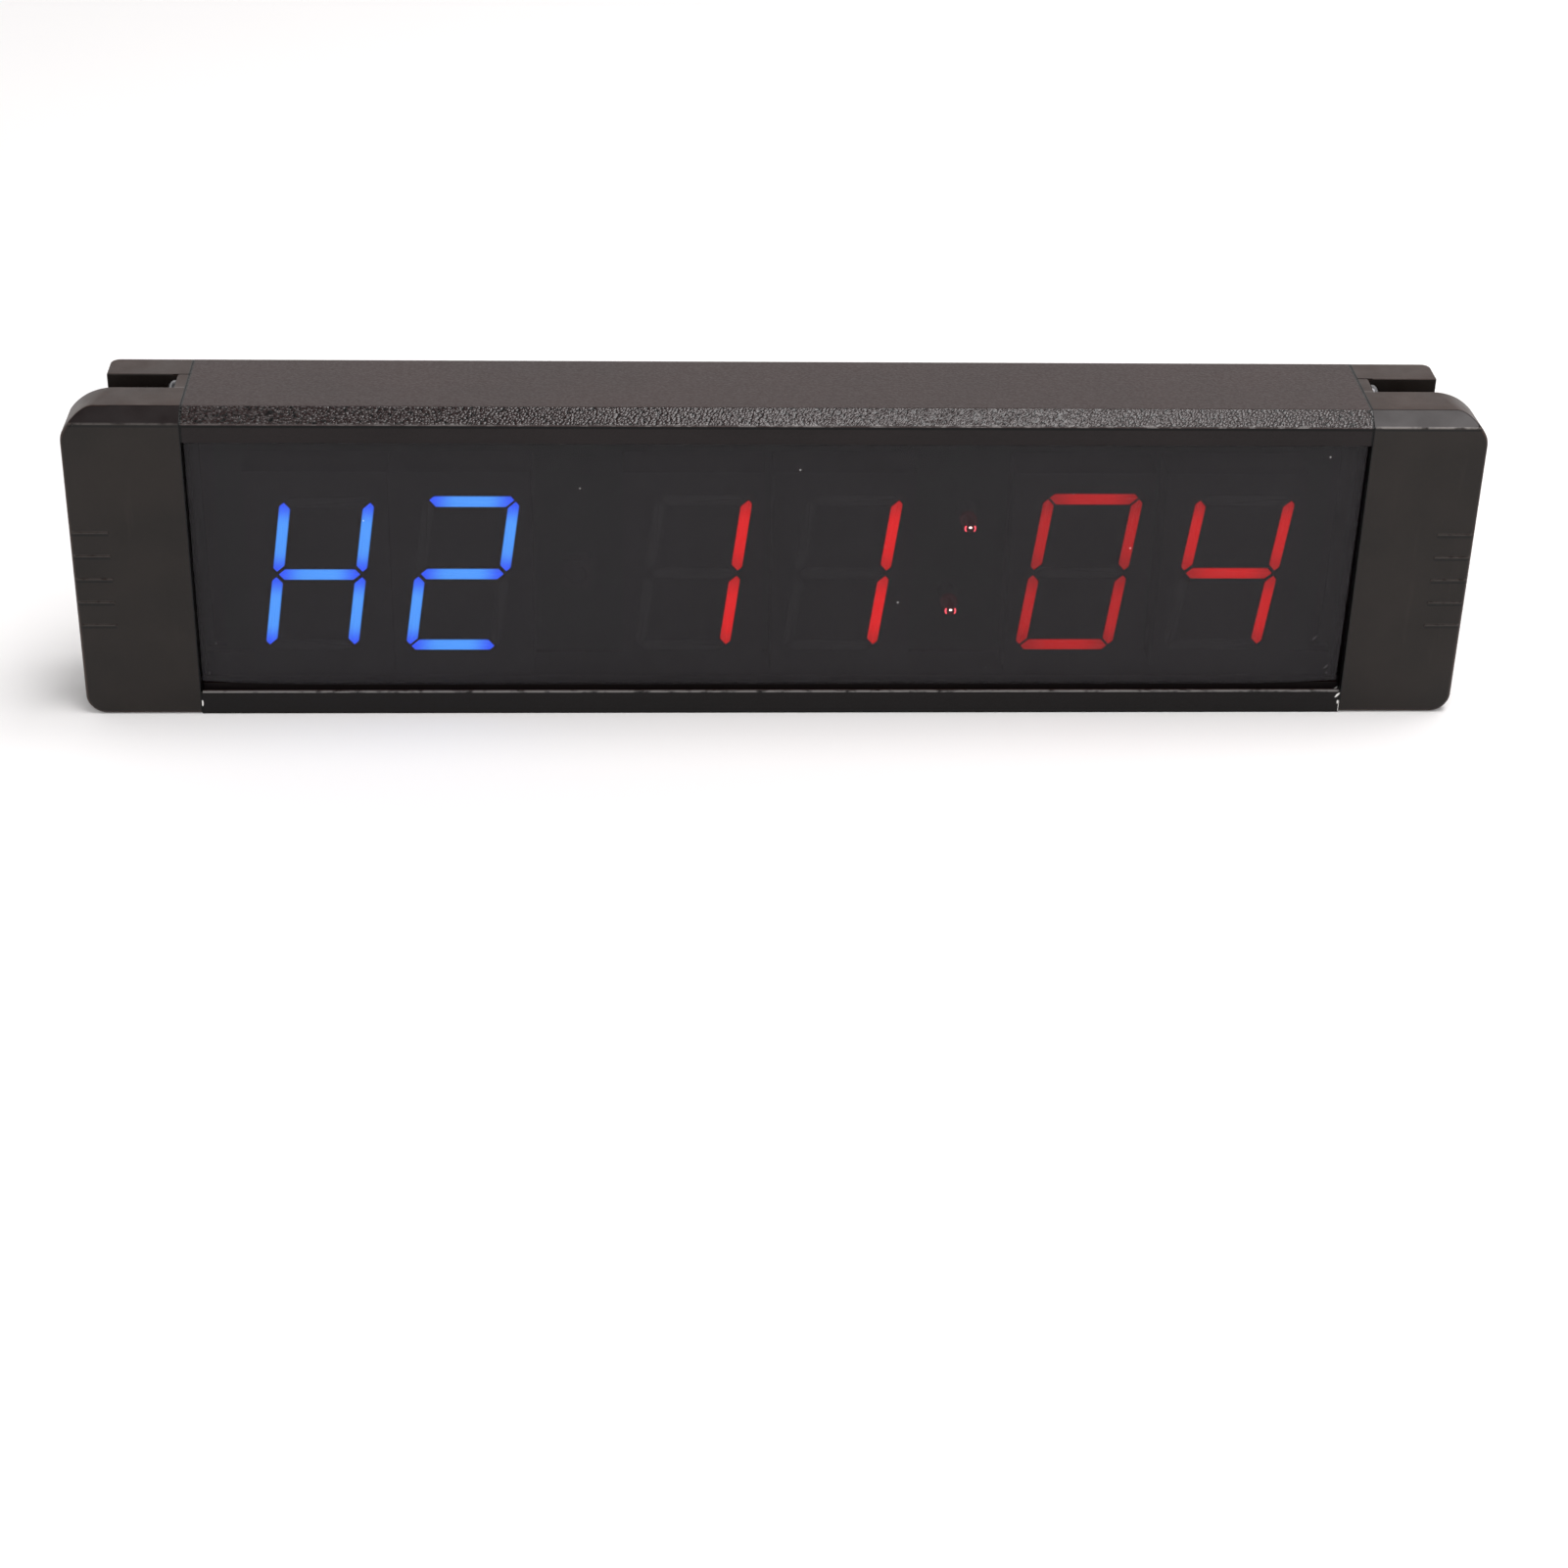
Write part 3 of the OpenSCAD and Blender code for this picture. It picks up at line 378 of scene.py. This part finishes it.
def lit_look(name, core, edge, strength, end_strength):
    """A milky diffuser lit from behind: brightest halfway along, with drawn streaks.
    Its UV map runs from -1 to 1 along the segment (u) and across it (v)."""
    look = Look(name, Roughness=0.5, Specular_IOR_Level=0.3)
    segment = look.node("UVMap", uv_map="segment").outputs[0]
    u, v, _ = look.parts(segment)
    middle = look.span(look.math("ABSOLUTE", u), 0.35, 1.0, 1.0, 0.0, smooth=True)
    rim = look.span(look.math("ABSOLUTE", v), 0.72, 1.0, 1.0, 0.4, smooth=True)
    streak = look.noise(0.35, 2, 0.5, look.node(
        "Mapping", {"Vector": segment, "Scale": (0.3, 1.6, 1)}).outputs[0])
    streak = look.span(streak, 0.3, 0.7, 0.88, 1.08)
    glow = look.times(rim, streak, look.span(middle, 0, 1, end_strength, strength))
    look.set(Base_Color=look.mix(middle, scaled(edge, 0.2), scaled(core, 0.2)),
             Emission_Color=look.mix(middle, edge, core), Emission_Strength=glow,
             Normal=look.bump(look.noise(0.5 * MM, 2), 0.01 * MM))
    return look.material


def glowing_look(name, tone, glow, strength, rough=0.3):
    """Clear or milky resin that glows a little unevenly."""
    look = Look(name, Roughness=rough, Specular_IOR_Level=0.5, Emission_Strength=strength)
    vary = look.span(look.noise(0.5 * MM, 2), 0.3, 0.7)
    look.set(Base_Color=tone, Emission_Color=look.mix(vary, scaled(glow, 0.8), glow),
             Normal=look.bump(look.noise(0.3 * MM, 1), 0.004 * MM))
    return look.material


def metal_look(name, tone, rough, brush=(1, 1, 1)):
    """Bare or plated metal; its fine lines run the way that brush stretches them."""
    look = Look(name, Metallic=1.0)
    lines = look.noise(0.4 * MM, 3, 0.6, look.stretched(*brush))
    blotch = look.noise(3.6 * MM, 2)
    look.set(Base_Color=look.mix(look.span(blotch, 0.35, 0.65), scaled(tone, 0.8), tone),
             Roughness=look.span(lines, 0.3, 0.7, rough - 0.08, rough + 0.1),
             Normal=look.bump(lines, 0.012 * MM))
    return look.material


def board_look():
    """Green solder mask with copper tracks that show faintly under it."""
    look = Look("solder_mask", Specular_IOR_Level=0.2)
    _, _, z = look.parts(look.place)
    rows = look.math("PINGPONG", z, 0.9 * MM)
    lane = look.noise(14 * MM, 1, place=look.stretched(1, 1, 2))
    track = look.times(look.span(rows, 0.35 * MM, 0.3 * MM), look.span(lane, 0.48, 0.52))
    colour = look.mix(look.span(look.noise(9 * MM, 3), 0.3, 0.7), (0.003, 0.02, 0.009),
                      (0.005, 0.03, 0.013))
    look.set(Base_Color=look.stain_or_light(colour, track, 0.6, (0.01, 0.055, 0.02)),
             Roughness=look.span(look.noise(3 * MM, 2), 0.3, 0.7, 0.7, 0.8),
             Normal=look.bump(track, 0.003 * MM))
    return look.material


def floor_look():
    """Matt white paper, very slightly uneven."""
    look = Look("studio_floor", Roughness=0.8, Specular_IOR_Level=0.1)
    look.set(Base_Color=look.mix(look.noise(0.6, 3), (0.93, 0.93, 0.93),
                                 (0.95, 0.95, 0.95)))
    return look.material


# ---------------------------------------------------------------- mesh helpers

def link_piece(name, mesh, materials, replaced=()):
    """Adds a piece that rides on the body and stands in for the CAD nodes named."""
    piece = bpy.data.objects.new(name, mesh)
    for m in materials:
        mesh.materials.append(m)
    bpy.context.scene.collection.objects.link(piece)
    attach(piece, BODY)
    if replaced:
        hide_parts(*replaced)
    return piece


def finish_mesh(bm, name, angle=32):
    """A smooth mesh from bm, with edges left sharp past the angle in degrees."""
    bmesh.ops.recalc_face_normals(bm, faces=bm.faces)
    mesh = bpy.data.meshes.new(name)
    bm.to_mesh(mesh)
    bm.free()
    mesh.polygons.foreach_set("use_smooth", [True] * len(mesh.polygons))
    mesh.set_sharp_from_angle(angle=math.radians(angle))
    return mesh


def weight_normals(piece):
    keep_flat = piece.modifiers.new("weighted", "WEIGHTED_NORMAL")
    keep_flat.keep_sharp = True


def bridge(bm, rings):
    """Skin over rings of the same number of points, with a face on each end."""
    loops = [[bm.verts.new(p) for p in ring] for ring in rings]
    faces = []
    for a, b in zip(loops, loops[1:]):
        for i in range(len(a)):
            j = (i + 1) % len(a)
            faces.append(bm.faces.new((a[i], a[j], b[j], b[i])))
    faces.append(bm.faces.new(loops[0]))
    faces.append(bm.faces.new(loops[-1]))
    return faces


def circle(steps):
    """The cosine and sine of each of so many equal steps round a circle."""
    angles = [2 * math.pi * k / steps for k in range(steps)]
    return [(math.cos(a), math.sin(a)) for a in angles]


# the widest rounding of an edge, and the least angle of an edge that is rounded
WIDEST, CREASE = 0.7 * MM, math.radians(20)


def facing(normal):
    """Which of three copies of one material a face takes, each toned for the light on it: 1
    for the front, 2 for the bevel, else 0.
    """
    if normal.y < -0.9:
        return 1
    return 2 if normal.y < -0.4 and normal.z > 0.7 else 0


def softened(node, name, width_at, materials, reshape=None):
    """A CAD node's own shape, with each visible sharp edge rounded by its own width."""
    bm = bmesh.new()
    bm.from_mesh(NODES[node].data)
    bmesh.ops.remove_doubles(bm, verts=bm.verts, dist=1e-6)
    bmesh.ops.dissolve_limit(bm, angle_limit=math.radians(0.5), verts=bm.verts,
                             edges=bm.edges)
    if reshape:
        for v in bm.verts:
            v.co = reshape(v.co)
    weights = bm.edges.layers.float.new("bevel_weight_edge")
    for e in bm.edges:
        creased = len(e.link_faces) == 2 and e.calc_face_angle(0) > CREASE
        width = width_at(e) if creased else 0
        e[weights] = width / WIDEST
        e.smooth = not creased or width > 0
    for f in bm.faces:
        f.smooth = True
        f.material_index = facing(f.normal)
    mesh = bpy.data.meshes.new(name)
    bm.to_mesh(mesh)
    bm.free()
    piece = link_piece(name, mesh, materials, [node])
    rounded = piece.modifiers.new("rounded", "BEVEL")
    rounded.limit_method = "WEIGHT"
    rounded.width = WIDEST
    rounded.segments = 3
    rounded.use_clamp_overlap = False
    weight_normals(piece)
    return piece


# ---------------------------------------------------------------- body and caps

def housing_width(e):
    """Rounding of the extrusion's outside edges; its inner edges stay sharp."""
    low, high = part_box("housing")
    a, b = (v.co for v in e.verts)
    mid = (a + b) / 2
    front_zone, hair = 1.2 * MM, 0.01 * MM
    end_width, front_width, other_width = 0.12 * MM, 0.3 * MM, 0.22 * MM
    skin = (mid.y < low.y + front_zone or mid.y > high.y - hair or mid.z < hair
            or mid.z > high.z - hair)
    if not skin:
        return 0
    if abs(mid.x) > high.x - hair:
        return end_width
    runs_along = abs(a.x - b.x) > 50 * MM
    if not runs_along:
        return 0
    return front_width if mid.y < low.y + hair else other_width


def cap_width(e):
    """Rounding of an end cap's outside edges. Its hollow, plugs and keyhole and the joint
    line at the lug stay sharp."""
    low, high = cad_box
    a, b = (v.co for v in e.verts)
    mid = (a + b) / 2
    out = abs(mid.x) - SEAM
    hair = 0.05 * MM
    rib_width, seam_width, usual_width = 0.06 * MM, 0.15 * MM, 0.28 * MM
    hollow = (out < high.x - SEAM - 2 * MM and low.y + 2 * MM < mid.y < -2 * MM
              and 3 * MM < mid.z < TOP - 3 * MM)
    joint_line = abs(mid.y - CHANNEL_REAR) < 0.5 * MM and out < INNER_WALL + 1.05 * MM and (
        mid.z < 0.5 * MM or mid.z > TOP - 0.5 * MM)
    keyhole = (CHANNEL_REAR + MM < mid.y < high.y - hair and MM < out < 16 * MM
               and 20 * MM < mid.z < 60 * MM)
    if out < -hair or hollow or joint_line or keyhole:
        return 0
    ribs = (mid.y < low.y + 0.5 * MM and 16 * MM < out < high.x - SEAM - 0.6 * MM
            and 10 * MM < mid.z < 55 * MM)
    if ribs:
        return rib_width if mid.y < FRONT - hair else 0
    if abs(out) < hair:
        return seam_width
    if mid.z > TOP - hair and (abs(mid.y - CHANNEL_FRONT) < hair
                               or abs(out - INNER_WALL) < hair):
        return WIDEST
    return usual_width


def eased_corner(co):
    """The top outer corner of a cap reaches less far in at the front than at the back."""
    inside = abs(co.x) - (CAP_END - CORNER_REACH)
    if inside <= 0 or co.z < TOP - CORNER_DROP or co.y > CHANNEL_FRONT:
        return co
    front_share = 0.7
    back = min(1, max(0, (co.y - BEVEL_REAR) / (CHANNEL_FRONT - BEVEL_REAR)))
    share = front_share + (1 - front_share) * back
    x = CAP_END - (CORNER_REACH - inside) * share
    return Vector((math.copysign(x, co.x), co.y, co.z))


def add_body():
    warm_black = (0.0185, 0.0066, 0.0056)
    # three copies of one coat: the front one darker as painted shade, the bevel one glossier
    # with fainter painted glints
    coats = [coat_look("leather_grain_coat", warm_black, 0.345, 0.42),
             coat_look("leather_grain_coat_front_shaded", (0.0105, 0.0078, 0.0080), 0.18, 0.45),
             coat_look("leather_grain_coat_bevel", warm_black, 0.61, 0.37, 0.065)]
    softened("housing", "housing_shell", housing_width, coats)
    # three copies of one cap plastic: the front and bevel ones darker and less red as painted
    # shade
    plastics = [moulding_look(name, tone, 0.22 * MM, rough, 0.012, shine, with_painted_light=True)
                for name, tone, rough, shine in (
                    ("cap_moulding", (0.0205, 0.0072, 0.0032), 0.42, 0.34),
                    ("cap_moulding_front_shaded", (0.0105, 0.0076, 0.0062), 0.42, 0.26),
                    ("cap_moulding_bevel_shaded", (0.0085, 0.0054, 0.0055), 0.35, 0.28))]
    for side in ("left", "right"):
        softened(f"{side}_end_cap", f"{side}_cap_moulding", cap_width, plastics,
                 eased_corner)


# ---------------------------------------------------------------- screws

def screw_outline(head_radius, length):
    """Radius and distance out of the seat, from the tip over the thread to the face."""
    shank, core, pitch, turns = 1.25 * MM, 0.98 * MM, 0.8 * MM, 15
    outline = [(0.4 * MM, 0.05 * MM - length), (core, 0.5 * MM - length)]
    for i in range(turns):
        start = 0.7 * MM - length + i * pitch
        outline += [(core, start), (shank, start + 0.3 * pitch),
                    (shank, start + 0.4 * pitch), (core, start + 0.7 * pitch)]
    outline.append((core, -0.2 * MM))
    head = ((0.93, 0.01), (0.995, 0.12), (0.995, 0.6), (0.96, 0.9), (0.87, 1.25),
            (0.74, 1.55), (0.64, 1.72))
    return outline + [(head_radius * share, out * MM) for share, out in head]


def add_screws(side, metal):
    """Plated pan-head screws: threaded shank, rounded rim, domed face, cross recess."""
    low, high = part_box(f"{side}_cap_screws")
    outwards = 1 if side == "right" else -1
    radius, head, around = (high.y - low.y) / 2, 2 * MM, 48
    seat = (high.x if side == "right" else low.x) - outwards * head
    outline = screw_outline(radius, high.x - low.x - head)
    rings = [[(r, out)] * around for r, out in outline]
    slot_width, arm_length, cross_turn = 0.5 * MM, 1.05 * MM, 0.4
    for share, out in ((1.0, 1.86 * MM), (0.93, 1.8 * MM), (0.8, 0.9 * MM), (0.3, 0.7 * MM)):
        arms = [abs(math.cos(2 * (2 * math.pi * k / around + cross_turn))) ** 5
                for k in range(around)]
        rings.append([((slot_width + arm_length * arm) * share, out) for arm in arms])
    bm = bmesh.new()
    mid_y = (low.y + high.y) / 2
    for z in (low.z + radius, high.z - radius):
        bridge(bm, [[Vector((seat + outwards * out, mid_y + r * c, z + r * s))
                     for (r, out), (c, s) in zip(ring, circle(around))] for ring in rings])
    link_piece(f"{side}_screw_pair", finish_mesh(bm, f"{side}_screw_pair", 35), [metal],
               [f"{side}_cap_screws"])


# ---------------------------------------------------------------- window

def add_window():
    """The smoked sheet: its lower corners lift a little and its right end runs askew."""
    low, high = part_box("window_panel")
    lift, run, skew, edge, stations = 0.9 * MM, 25 * MM, 0.6 * MM, 0.12 * MM, 64
    rings = []
    for i in range(stations + 1):
        along = 0.5 - 0.5 * math.cos(math.pi * i / stations)
        x = low.x + (high.x - low.x) * along
        near_end = max(0, 1 - min(x - low.x, high.x - x) / run)
        foot = low.z + lift * near_end ** 2
        slide = skew * max(0, 1 - (high.x - x) / run)
        lower = [(low.y, foot + edge), (low.y + edge, foot), (high.y - edge, foot),
                 (high.y, foot + edge)]
        upper = [(high.y, high.z - edge), (high.y - edge, high.z), (low.y + edge, high.z),
                 (low.y, high.z - edge)]
        rings.append([Vector((x - slide, y, z)) for y, z in lower]
                     + [Vector((x, y, z)) for y, z in upper])
    bm = bmesh.new()
    bridge(bm, rings)
    mesh = finish_mesh(bm, "window_sheet")
    front = window_look("smoked_front", 0.76, (0.0155, 0.0138, 0.0158))
    back = window_look("smoked_back", 0.2, (0.016, 0.016, 0.019))
    link_piece("window_sheet", mesh, [front, back], ["window_panel"])
    for p in mesh.polygons:
        p.material_index = 1 if p.normal.y > 0.9 else 0


# ---------------------------------------------------------------- digits

# in millimetres: width of the upright and of the level segments, the play left at the
# corners and in the middle; and the share of a segment's width that its tips cut off
UPRIGHT, LEVEL, CORNER_PLAY, MIDDLE_PLAY, TIP = 2.5, 2.7, 0.3, 0.9, 0.38
# each digit's distance between its columns in millimetres, and its slant in degrees
COLUMNS = (17.7, 18.1, 18.5, 18.5, 19.1, 19.2)
SLANTS = (8.2, 8.2, 7.2, 7.2, 6.6, 6.7)
GLYPHS = {
    "H": "middle upper_left upper_right lower_left lower_right",
    "2": "top middle bottom upper_right lower_left",
    "1": "upper_right lower_right",
    "0": "top bottom upper_left upper_right lower_left lower_right",
    "4": "middle upper_left upper_right lower_right",
}
READOUT = "H21104"


def flipped(points, x=1, z=1):
    return [(x * px, z * pz) for px, pz in points]


def segment_outlines(cx, cz):
    """Each segment's outline, round the centre of an upright digit whose columns stand at
    -cx and cx and whose rows lie at -cz and cz, in millimetres."""
    half, tip, end = LEVEL / 2, TIP * LEVEL, cx - CORNER_PLAY
    low, high = cz - half, cz + half
    top = [(half - end, low), (end - half, low), (end + half - tip, high - tip),
           (end + half - 2 * tip, high), (2 * tip - end - half, high),
           (tip - end - half, high - tip)]
    point = cx - 0.1
    middle = [(-point, 0), (half - point, -half), (point - half, -half), (point, 0),
              (point - half, half), (half - point, half)]
    half, tip, end = UPRIGHT / 2, TIP * UPRIGHT, cz - CORNER_PLAY
    inner, outer = half - cx, -half - cx
    left = [(inner, half + MIDDLE_PLAY), (inner, end - half), (outer + tip, end + half - tip),
            (outer, end + half - 2 * tip), (outer, MIDDLE_PLAY - half + 2 * tip),
            (outer + tip, MIDDLE_PLAY - half + tip)]
    return {"top": top, "middle": middle, "bottom": flipped(top, z=-1),
            "upper_left": left, "upper_right": flipped(left, x=-1),
            "lower_left": flipped(left, z=-1), "lower_right": flipped(left, -1, -1)}


def with_neighbours(points):
    """Each point of a closed outline, between the one before it and the one after."""
    count = len(points)
    return [[Vector(points[(i + k) % count]) for k in (-1, 0, 1)] for i in range(count)]


def eased(points, reach):
    """The same outline with each corner turned into a short curve."""
    steps = 4
    out = []
    for before, here, after in with_neighbours(points):
        start = here + (before - here).normalized() * min(reach, (before - here).length / 2.2)
        end = here + (after - here).normalized() * min(reach, (after - here).length / 2.2)
        for k in range(steps + 1):
            s = k / steps
            out.append(start * (1 - s) ** 2 + here * 2 * s * (1 - s) + end * s * s)
    return out


def shrunk(points, amount):
    """A convex outline with each of its points moved inwards by the same amount."""
    centre = sum((Vector(p) for p in points), Vector((0, 0))) / len(points)
    out = []
    for before, here, after in with_neighbours(points):
        pull = Vector((0, 0))
        for d in ((here - before).normalized(), (after - here).normalized()):
            n = Vector((-d.y, d.x))
            pull += n if n.dot(centre - here) > 0 else -n
        out.append(here + pull.normalized() * amount)
    return out


def add_digit(number, glyph, lit, unlit):
    """Seven resin diffusers with eased corners, a rounded rim and a slightly sunk face."""
    low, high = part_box(f"digit_{number}_segments")
    mid_x, mid_z = (low.x + high.x) / 2, (low.z + high.z) / 2
    half_rows = (high.z - low.z) / MM / 2 - LEVEL / 2
    lean = math.tan(math.radians(SLANTS[number - 1]))
    rim_depth, face_depth = 0.12 * MM, 0.05 * MM
    bm = bmesh.new()
    uv = bm.loops.layers.uv.new("segment")
    for name, points in segment_outlines(COLUMNS[number - 1] / 2, half_rows).items():
        outline = shrunk(eased(points, 0.15), 0.04)
        rim, face = shrunk(outline, 0.08), shrunk(outline, 0.35)
        span = [(min(p[k] for p in points), max(p[k] for p in points)) for k in (0, 1)]
        centre = [(s[0] + s[1]) / 2 for s in span]
        half = [(s[1] - s[0]) / 2 for s in span]

        def at(p, y):
            return Vector((mid_x + (p[0] + lean * p[1]) * MM, y, mid_z + p[1] * MM))

        rings = [[at(p, high.y) for p in outline],
                 [at(p, low.y + rim_depth) for p in outline],
                 [at(p, low.y) for p in rim],
                 [at(p, low.y + face_depth) for p in face]]
        for f in bridge(bm, rings):
            f.material_index = 0 if name in GLYPHS[glyph].split() else 1
            for loop in f.loops:
                z = (loop.vert.co.z - mid_z) / MM
                x = (loop.vert.co.x - mid_x) / MM - lean * z
                place = ((x - centre[0]) / half[0], (z - centre[1]) / half[1])
                loop[uv].uv = place if half[0] > half[1] else place[::-1]
    mesh = finish_mesh(bm, f"digit_{number}_diffusers", 50)
    link_piece(f"digit_{number}_diffusers", mesh, [lit, unlit],
               [f"digit_{number}_segments"])


# ---------------------------------------------------------------- colon lamps

def lathe(bm, profile, centre, steps=32):
    """Skin turned round an axis along Y; profile holds (radius, y) pairs."""
    return bridge(bm, [[Vector((centre.x + radius * c, y, centre.z + radius * s))
                        for c, s in circle(steps)] for radius, y in profile])


def tube(bm, points, radii, sides=8):
    """A tube along points in a plane facing -Y."""
    depth = Vector((0, 1, 0))
    rings = []
    for i, p in enumerate(points):
        ahead = (points[min(i + 1, len(points) - 1)] - points[max(i - 1, 0)]).normalized()
        side = ahead.cross(depth).normalized()
        rings.append([p + radii[i] * (side * c + depth * s) for c, s in circle(sides)])
    return bridge(bm, rings)


def add_lamps(body, spark, cup_reflection):
    """Two domed lamps with a flange, the bright die in each, and two arcs of its cup that
    glow as a painted reflection of the die.
    """
    low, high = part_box("colon_lamps")
    flange, radius = 1.9 * MM, 1.5 * MM
    cup_radius, cup_width, sweep = 1.02 * MM, 0.23 * MM, range(-38, 39, 12)
    dome = low.y + radius
    bm = bmesh.new()
    for centre in (Vector((low.x + flange, 0, low.z + flange)),
                   Vector((high.x - flange, 0, high.z - flange))):
        profile = [(flange, high.y), (flange, high.y - 0.85 * MM),
                   (flange - 0.15 * MM, high.y - MM), (radius, high.y - MM), (radius, dome)]
        profile += [(radius * math.cos(a), dome - radius * math.sin(a))
                    for a in (math.pi / 2 * k / 8 for k in range(1, 8))]
        profile += [(0.06 * MM, low.y + 0.002 * MM)]
        lathe(bm, profile, centre)
        die = centre + Vector((0, dome - radius * 0.93, 0.3 * MM))
        for f in lathe(bm, [(0.02 * MM, die.y - 0.1 * MM), (0.28 * MM, die.y - 0.06 * MM),
                            (0.38 * MM, die.y), (0.3 * MM, die.y + 0.15 * MM),
                            (0.05 * MM, die.y + 0.2 * MM)], die, 14):
            f.material_index = 1
        widths = [cup_width * math.cos(math.radians(d)) ** 0.5 for d in sweep]
        for side in (-1, 1):
            arc_points = [centre + Vector((side * cup_radius * math.cos(a),
                                           dome - radius * 0.66, cup_radius * math.sin(a)))
                          for a in map(math.radians, sweep)]
            for f in tube(bm, arc_points, widths):
                f.material_index = 2
    link_piece("colon_lamp_pair", finish_mesh(bm, "colon_lamp_pair", 50),
               [body, spark, cup_reflection], ["colon_lamps"])


# ---------------------------------------------------------------- pieces kept from the CAD

def paint(material, nodes):
    """Gives the CAD nodes that keep their own shape their material."""
    for n in nodes:
        mesh = NODES[n].data
        mesh.materials.clear()
        mesh.materials.append(material)


def add_details():
    paint(board_look(), ["main_board"])
    paint(moulding_look("digit_moulding", (0.012, 0.012, 0.0125), 0.2 * MM, 0.6, 0.01, 0.25),
          [f"digit_{n}_body" for n in range(1, 7)])
    tinned = metal_look("tinned_lead", (0.78, 0.77, 0.74), 0.35)
    paint(tinned, ["digit_pins", "colon_leads", "receiver_leads", "chip_leads",
                   "socket_shell"])
    paint(moulding_look("chip_epoxy", (0.018, 0.018, 0.019), 0.12 * MM, 0.62, 0.01),
          ["receiver", "microcontroller", "lamp_drivers", "clock_chip", "voltage_regulator",
           "digit_transistors", "chip_resistors"])
    paint(moulding_look("black_nylon", (0.02, 0.02, 0.021), 0.25 * MM, 0.5, 0.01),
          ["colon_spacers", "coin_cell_holder", "buzzer", "socket_insert"])
    paint(metal_look("brushed_steel", (0.66, 0.66, 0.65), 0.28, (0.1, 1, 1)), ["coin_cell"])
    paint(metal_look("drawn_aluminium", (0.8, 0.8, 0.81), 0.32, (1, 1, 0.1)),
          ["clock_crystal", "capacitors"])


# ---------------------------------------------------------------- studio

def add_tent():
    """A white light tent: bright up to 35 degrees above the horizon, dim past 52."""
    world = bpy.data.worlds.new("light_tent")
    world.use_nodes = True
    tree = world.node_tree
    coords = tree.nodes.new("ShaderNodeTexCoord")
    split = tree.nodes.new("ShaderNodeSeparateXYZ")
    fade = tree.nodes.new("ShaderNodeMapRange")
    fade.interpolation_type = "SMOOTHSTEP"
    tree.links.new(coords.outputs["Generated"], split.inputs[0])
    tree.links.new(split.outputs["Z"], fade.inputs["Value"])
    for key, value in (("From Min", math.sin(math.radians(35))),
                       ("From Max", math.sin(math.radians(52))),
                       ("To Min", 1.1), ("To Max", 0.1)):
        fade.inputs[key].default_value = value
    back = tree.nodes["Background"]
    back.inputs["Color"].default_value = (1, 0.985, 0.98, 1)
    tree.links.new(fade.outputs[0], back.inputs["Strength"])
    bpy.context.scene.world = world


def add_studio():
    """A pale floor in the tent, a large soft light overhead and a weak one in front."""
    mesh = bpy.data.meshes.new("floor")
    half = 4.0
    mesh.from_pydata([(-half, -half, 0), (half, -half, 0), (half, half, 0),
                      (-half, half, 0)], [], [(0, 1, 2, 3)])
    mesh.materials.append(floor_look())
    floor = bpy.data.objects.new("floor", mesh)
    bpy.context.scene.collection.objects.link(floor)
    add_tent()
    bpy.context.scene.view_settings.view_transform = "Standard"
    for name, place, size, radiance, tint in (
            ("overhead", (0.31, -0.1, 1.25), (0.96, 0.6), 7.2, (1, 0.97, 0.97)),
            ("front_strip", (0.0, -1.1, 1.35), (1.6, 0.4), 1.2, (1, 1, 1))):
        data = bpy.data.lights.new(name, "AREA")
        data.shape = "RECTANGLE"
        data.color = tint
        data.size, data.size_y = size
        data.energy = radiance * math.pi * size[0] * size[1]
        light = bpy.data.objects.new(name, data)
        light.location = place
        aim = Vector((0, 0, 0.035)) - Vector(place)
        light.rotation_euler = aim.to_track_quat("-Z", "Y").to_euler()
        bpy.context.scene.collection.objects.link(light)


# ---------------------------------------------------------------- the whole

def add_display():
    """Six digits showing READOUT, and the colon's two lamps."""
    blue = lit_look("lit_blue", (0.072, 0.325, 1.0), (0.03, 0.09, 1.0), 5.1, 4.8)
    red, red_edge, end_share = (1.0, 0.004, 0.006), (1.0, 0.006, 0.008), 0.62
    reds = {glyph: lit_look(f"lit_red_{glyph}", red, red_edge, strength,
                            strength * end_share)
            for glyph, strength in (("1", 3.5), ("0", 2.05), ("4", 2.6))}
    unlit = moulding_look("unlit_resin", (0.07, 0.07, 0.072), 0.5 * MM, 0.5, 0.01, 0.3)
    for number, glyph in enumerate(READOUT, 1):
        add_digit(number, glyph, reds.get(glyph, blue), unlit)
    # the cup's arcs glow as a painted reflection of the die
    add_lamps(glowing_look("red_epoxy", (0.12, 0.004, 0.006), (0.5, 0.0, 0.01), 0.1, 0.12),
              glowing_look("lamp_die", (0.5, 0.3, 0.3), (1.0, 0.66, 0.62), 13.0),
              glowing_look("lamp_cup_reflection", (0.4, 0.05, 0.06), (1.0, 0.09, 0.12), 8.0))


add_camera()
add_studio()
add_body()
add_window()
add_display()
zinc = metal_look("zinc_plate", (0.22, 0.22, 0.23), 0.32)
for side in ("left", "right"):
    add_screws(side, zinc)
add_details()
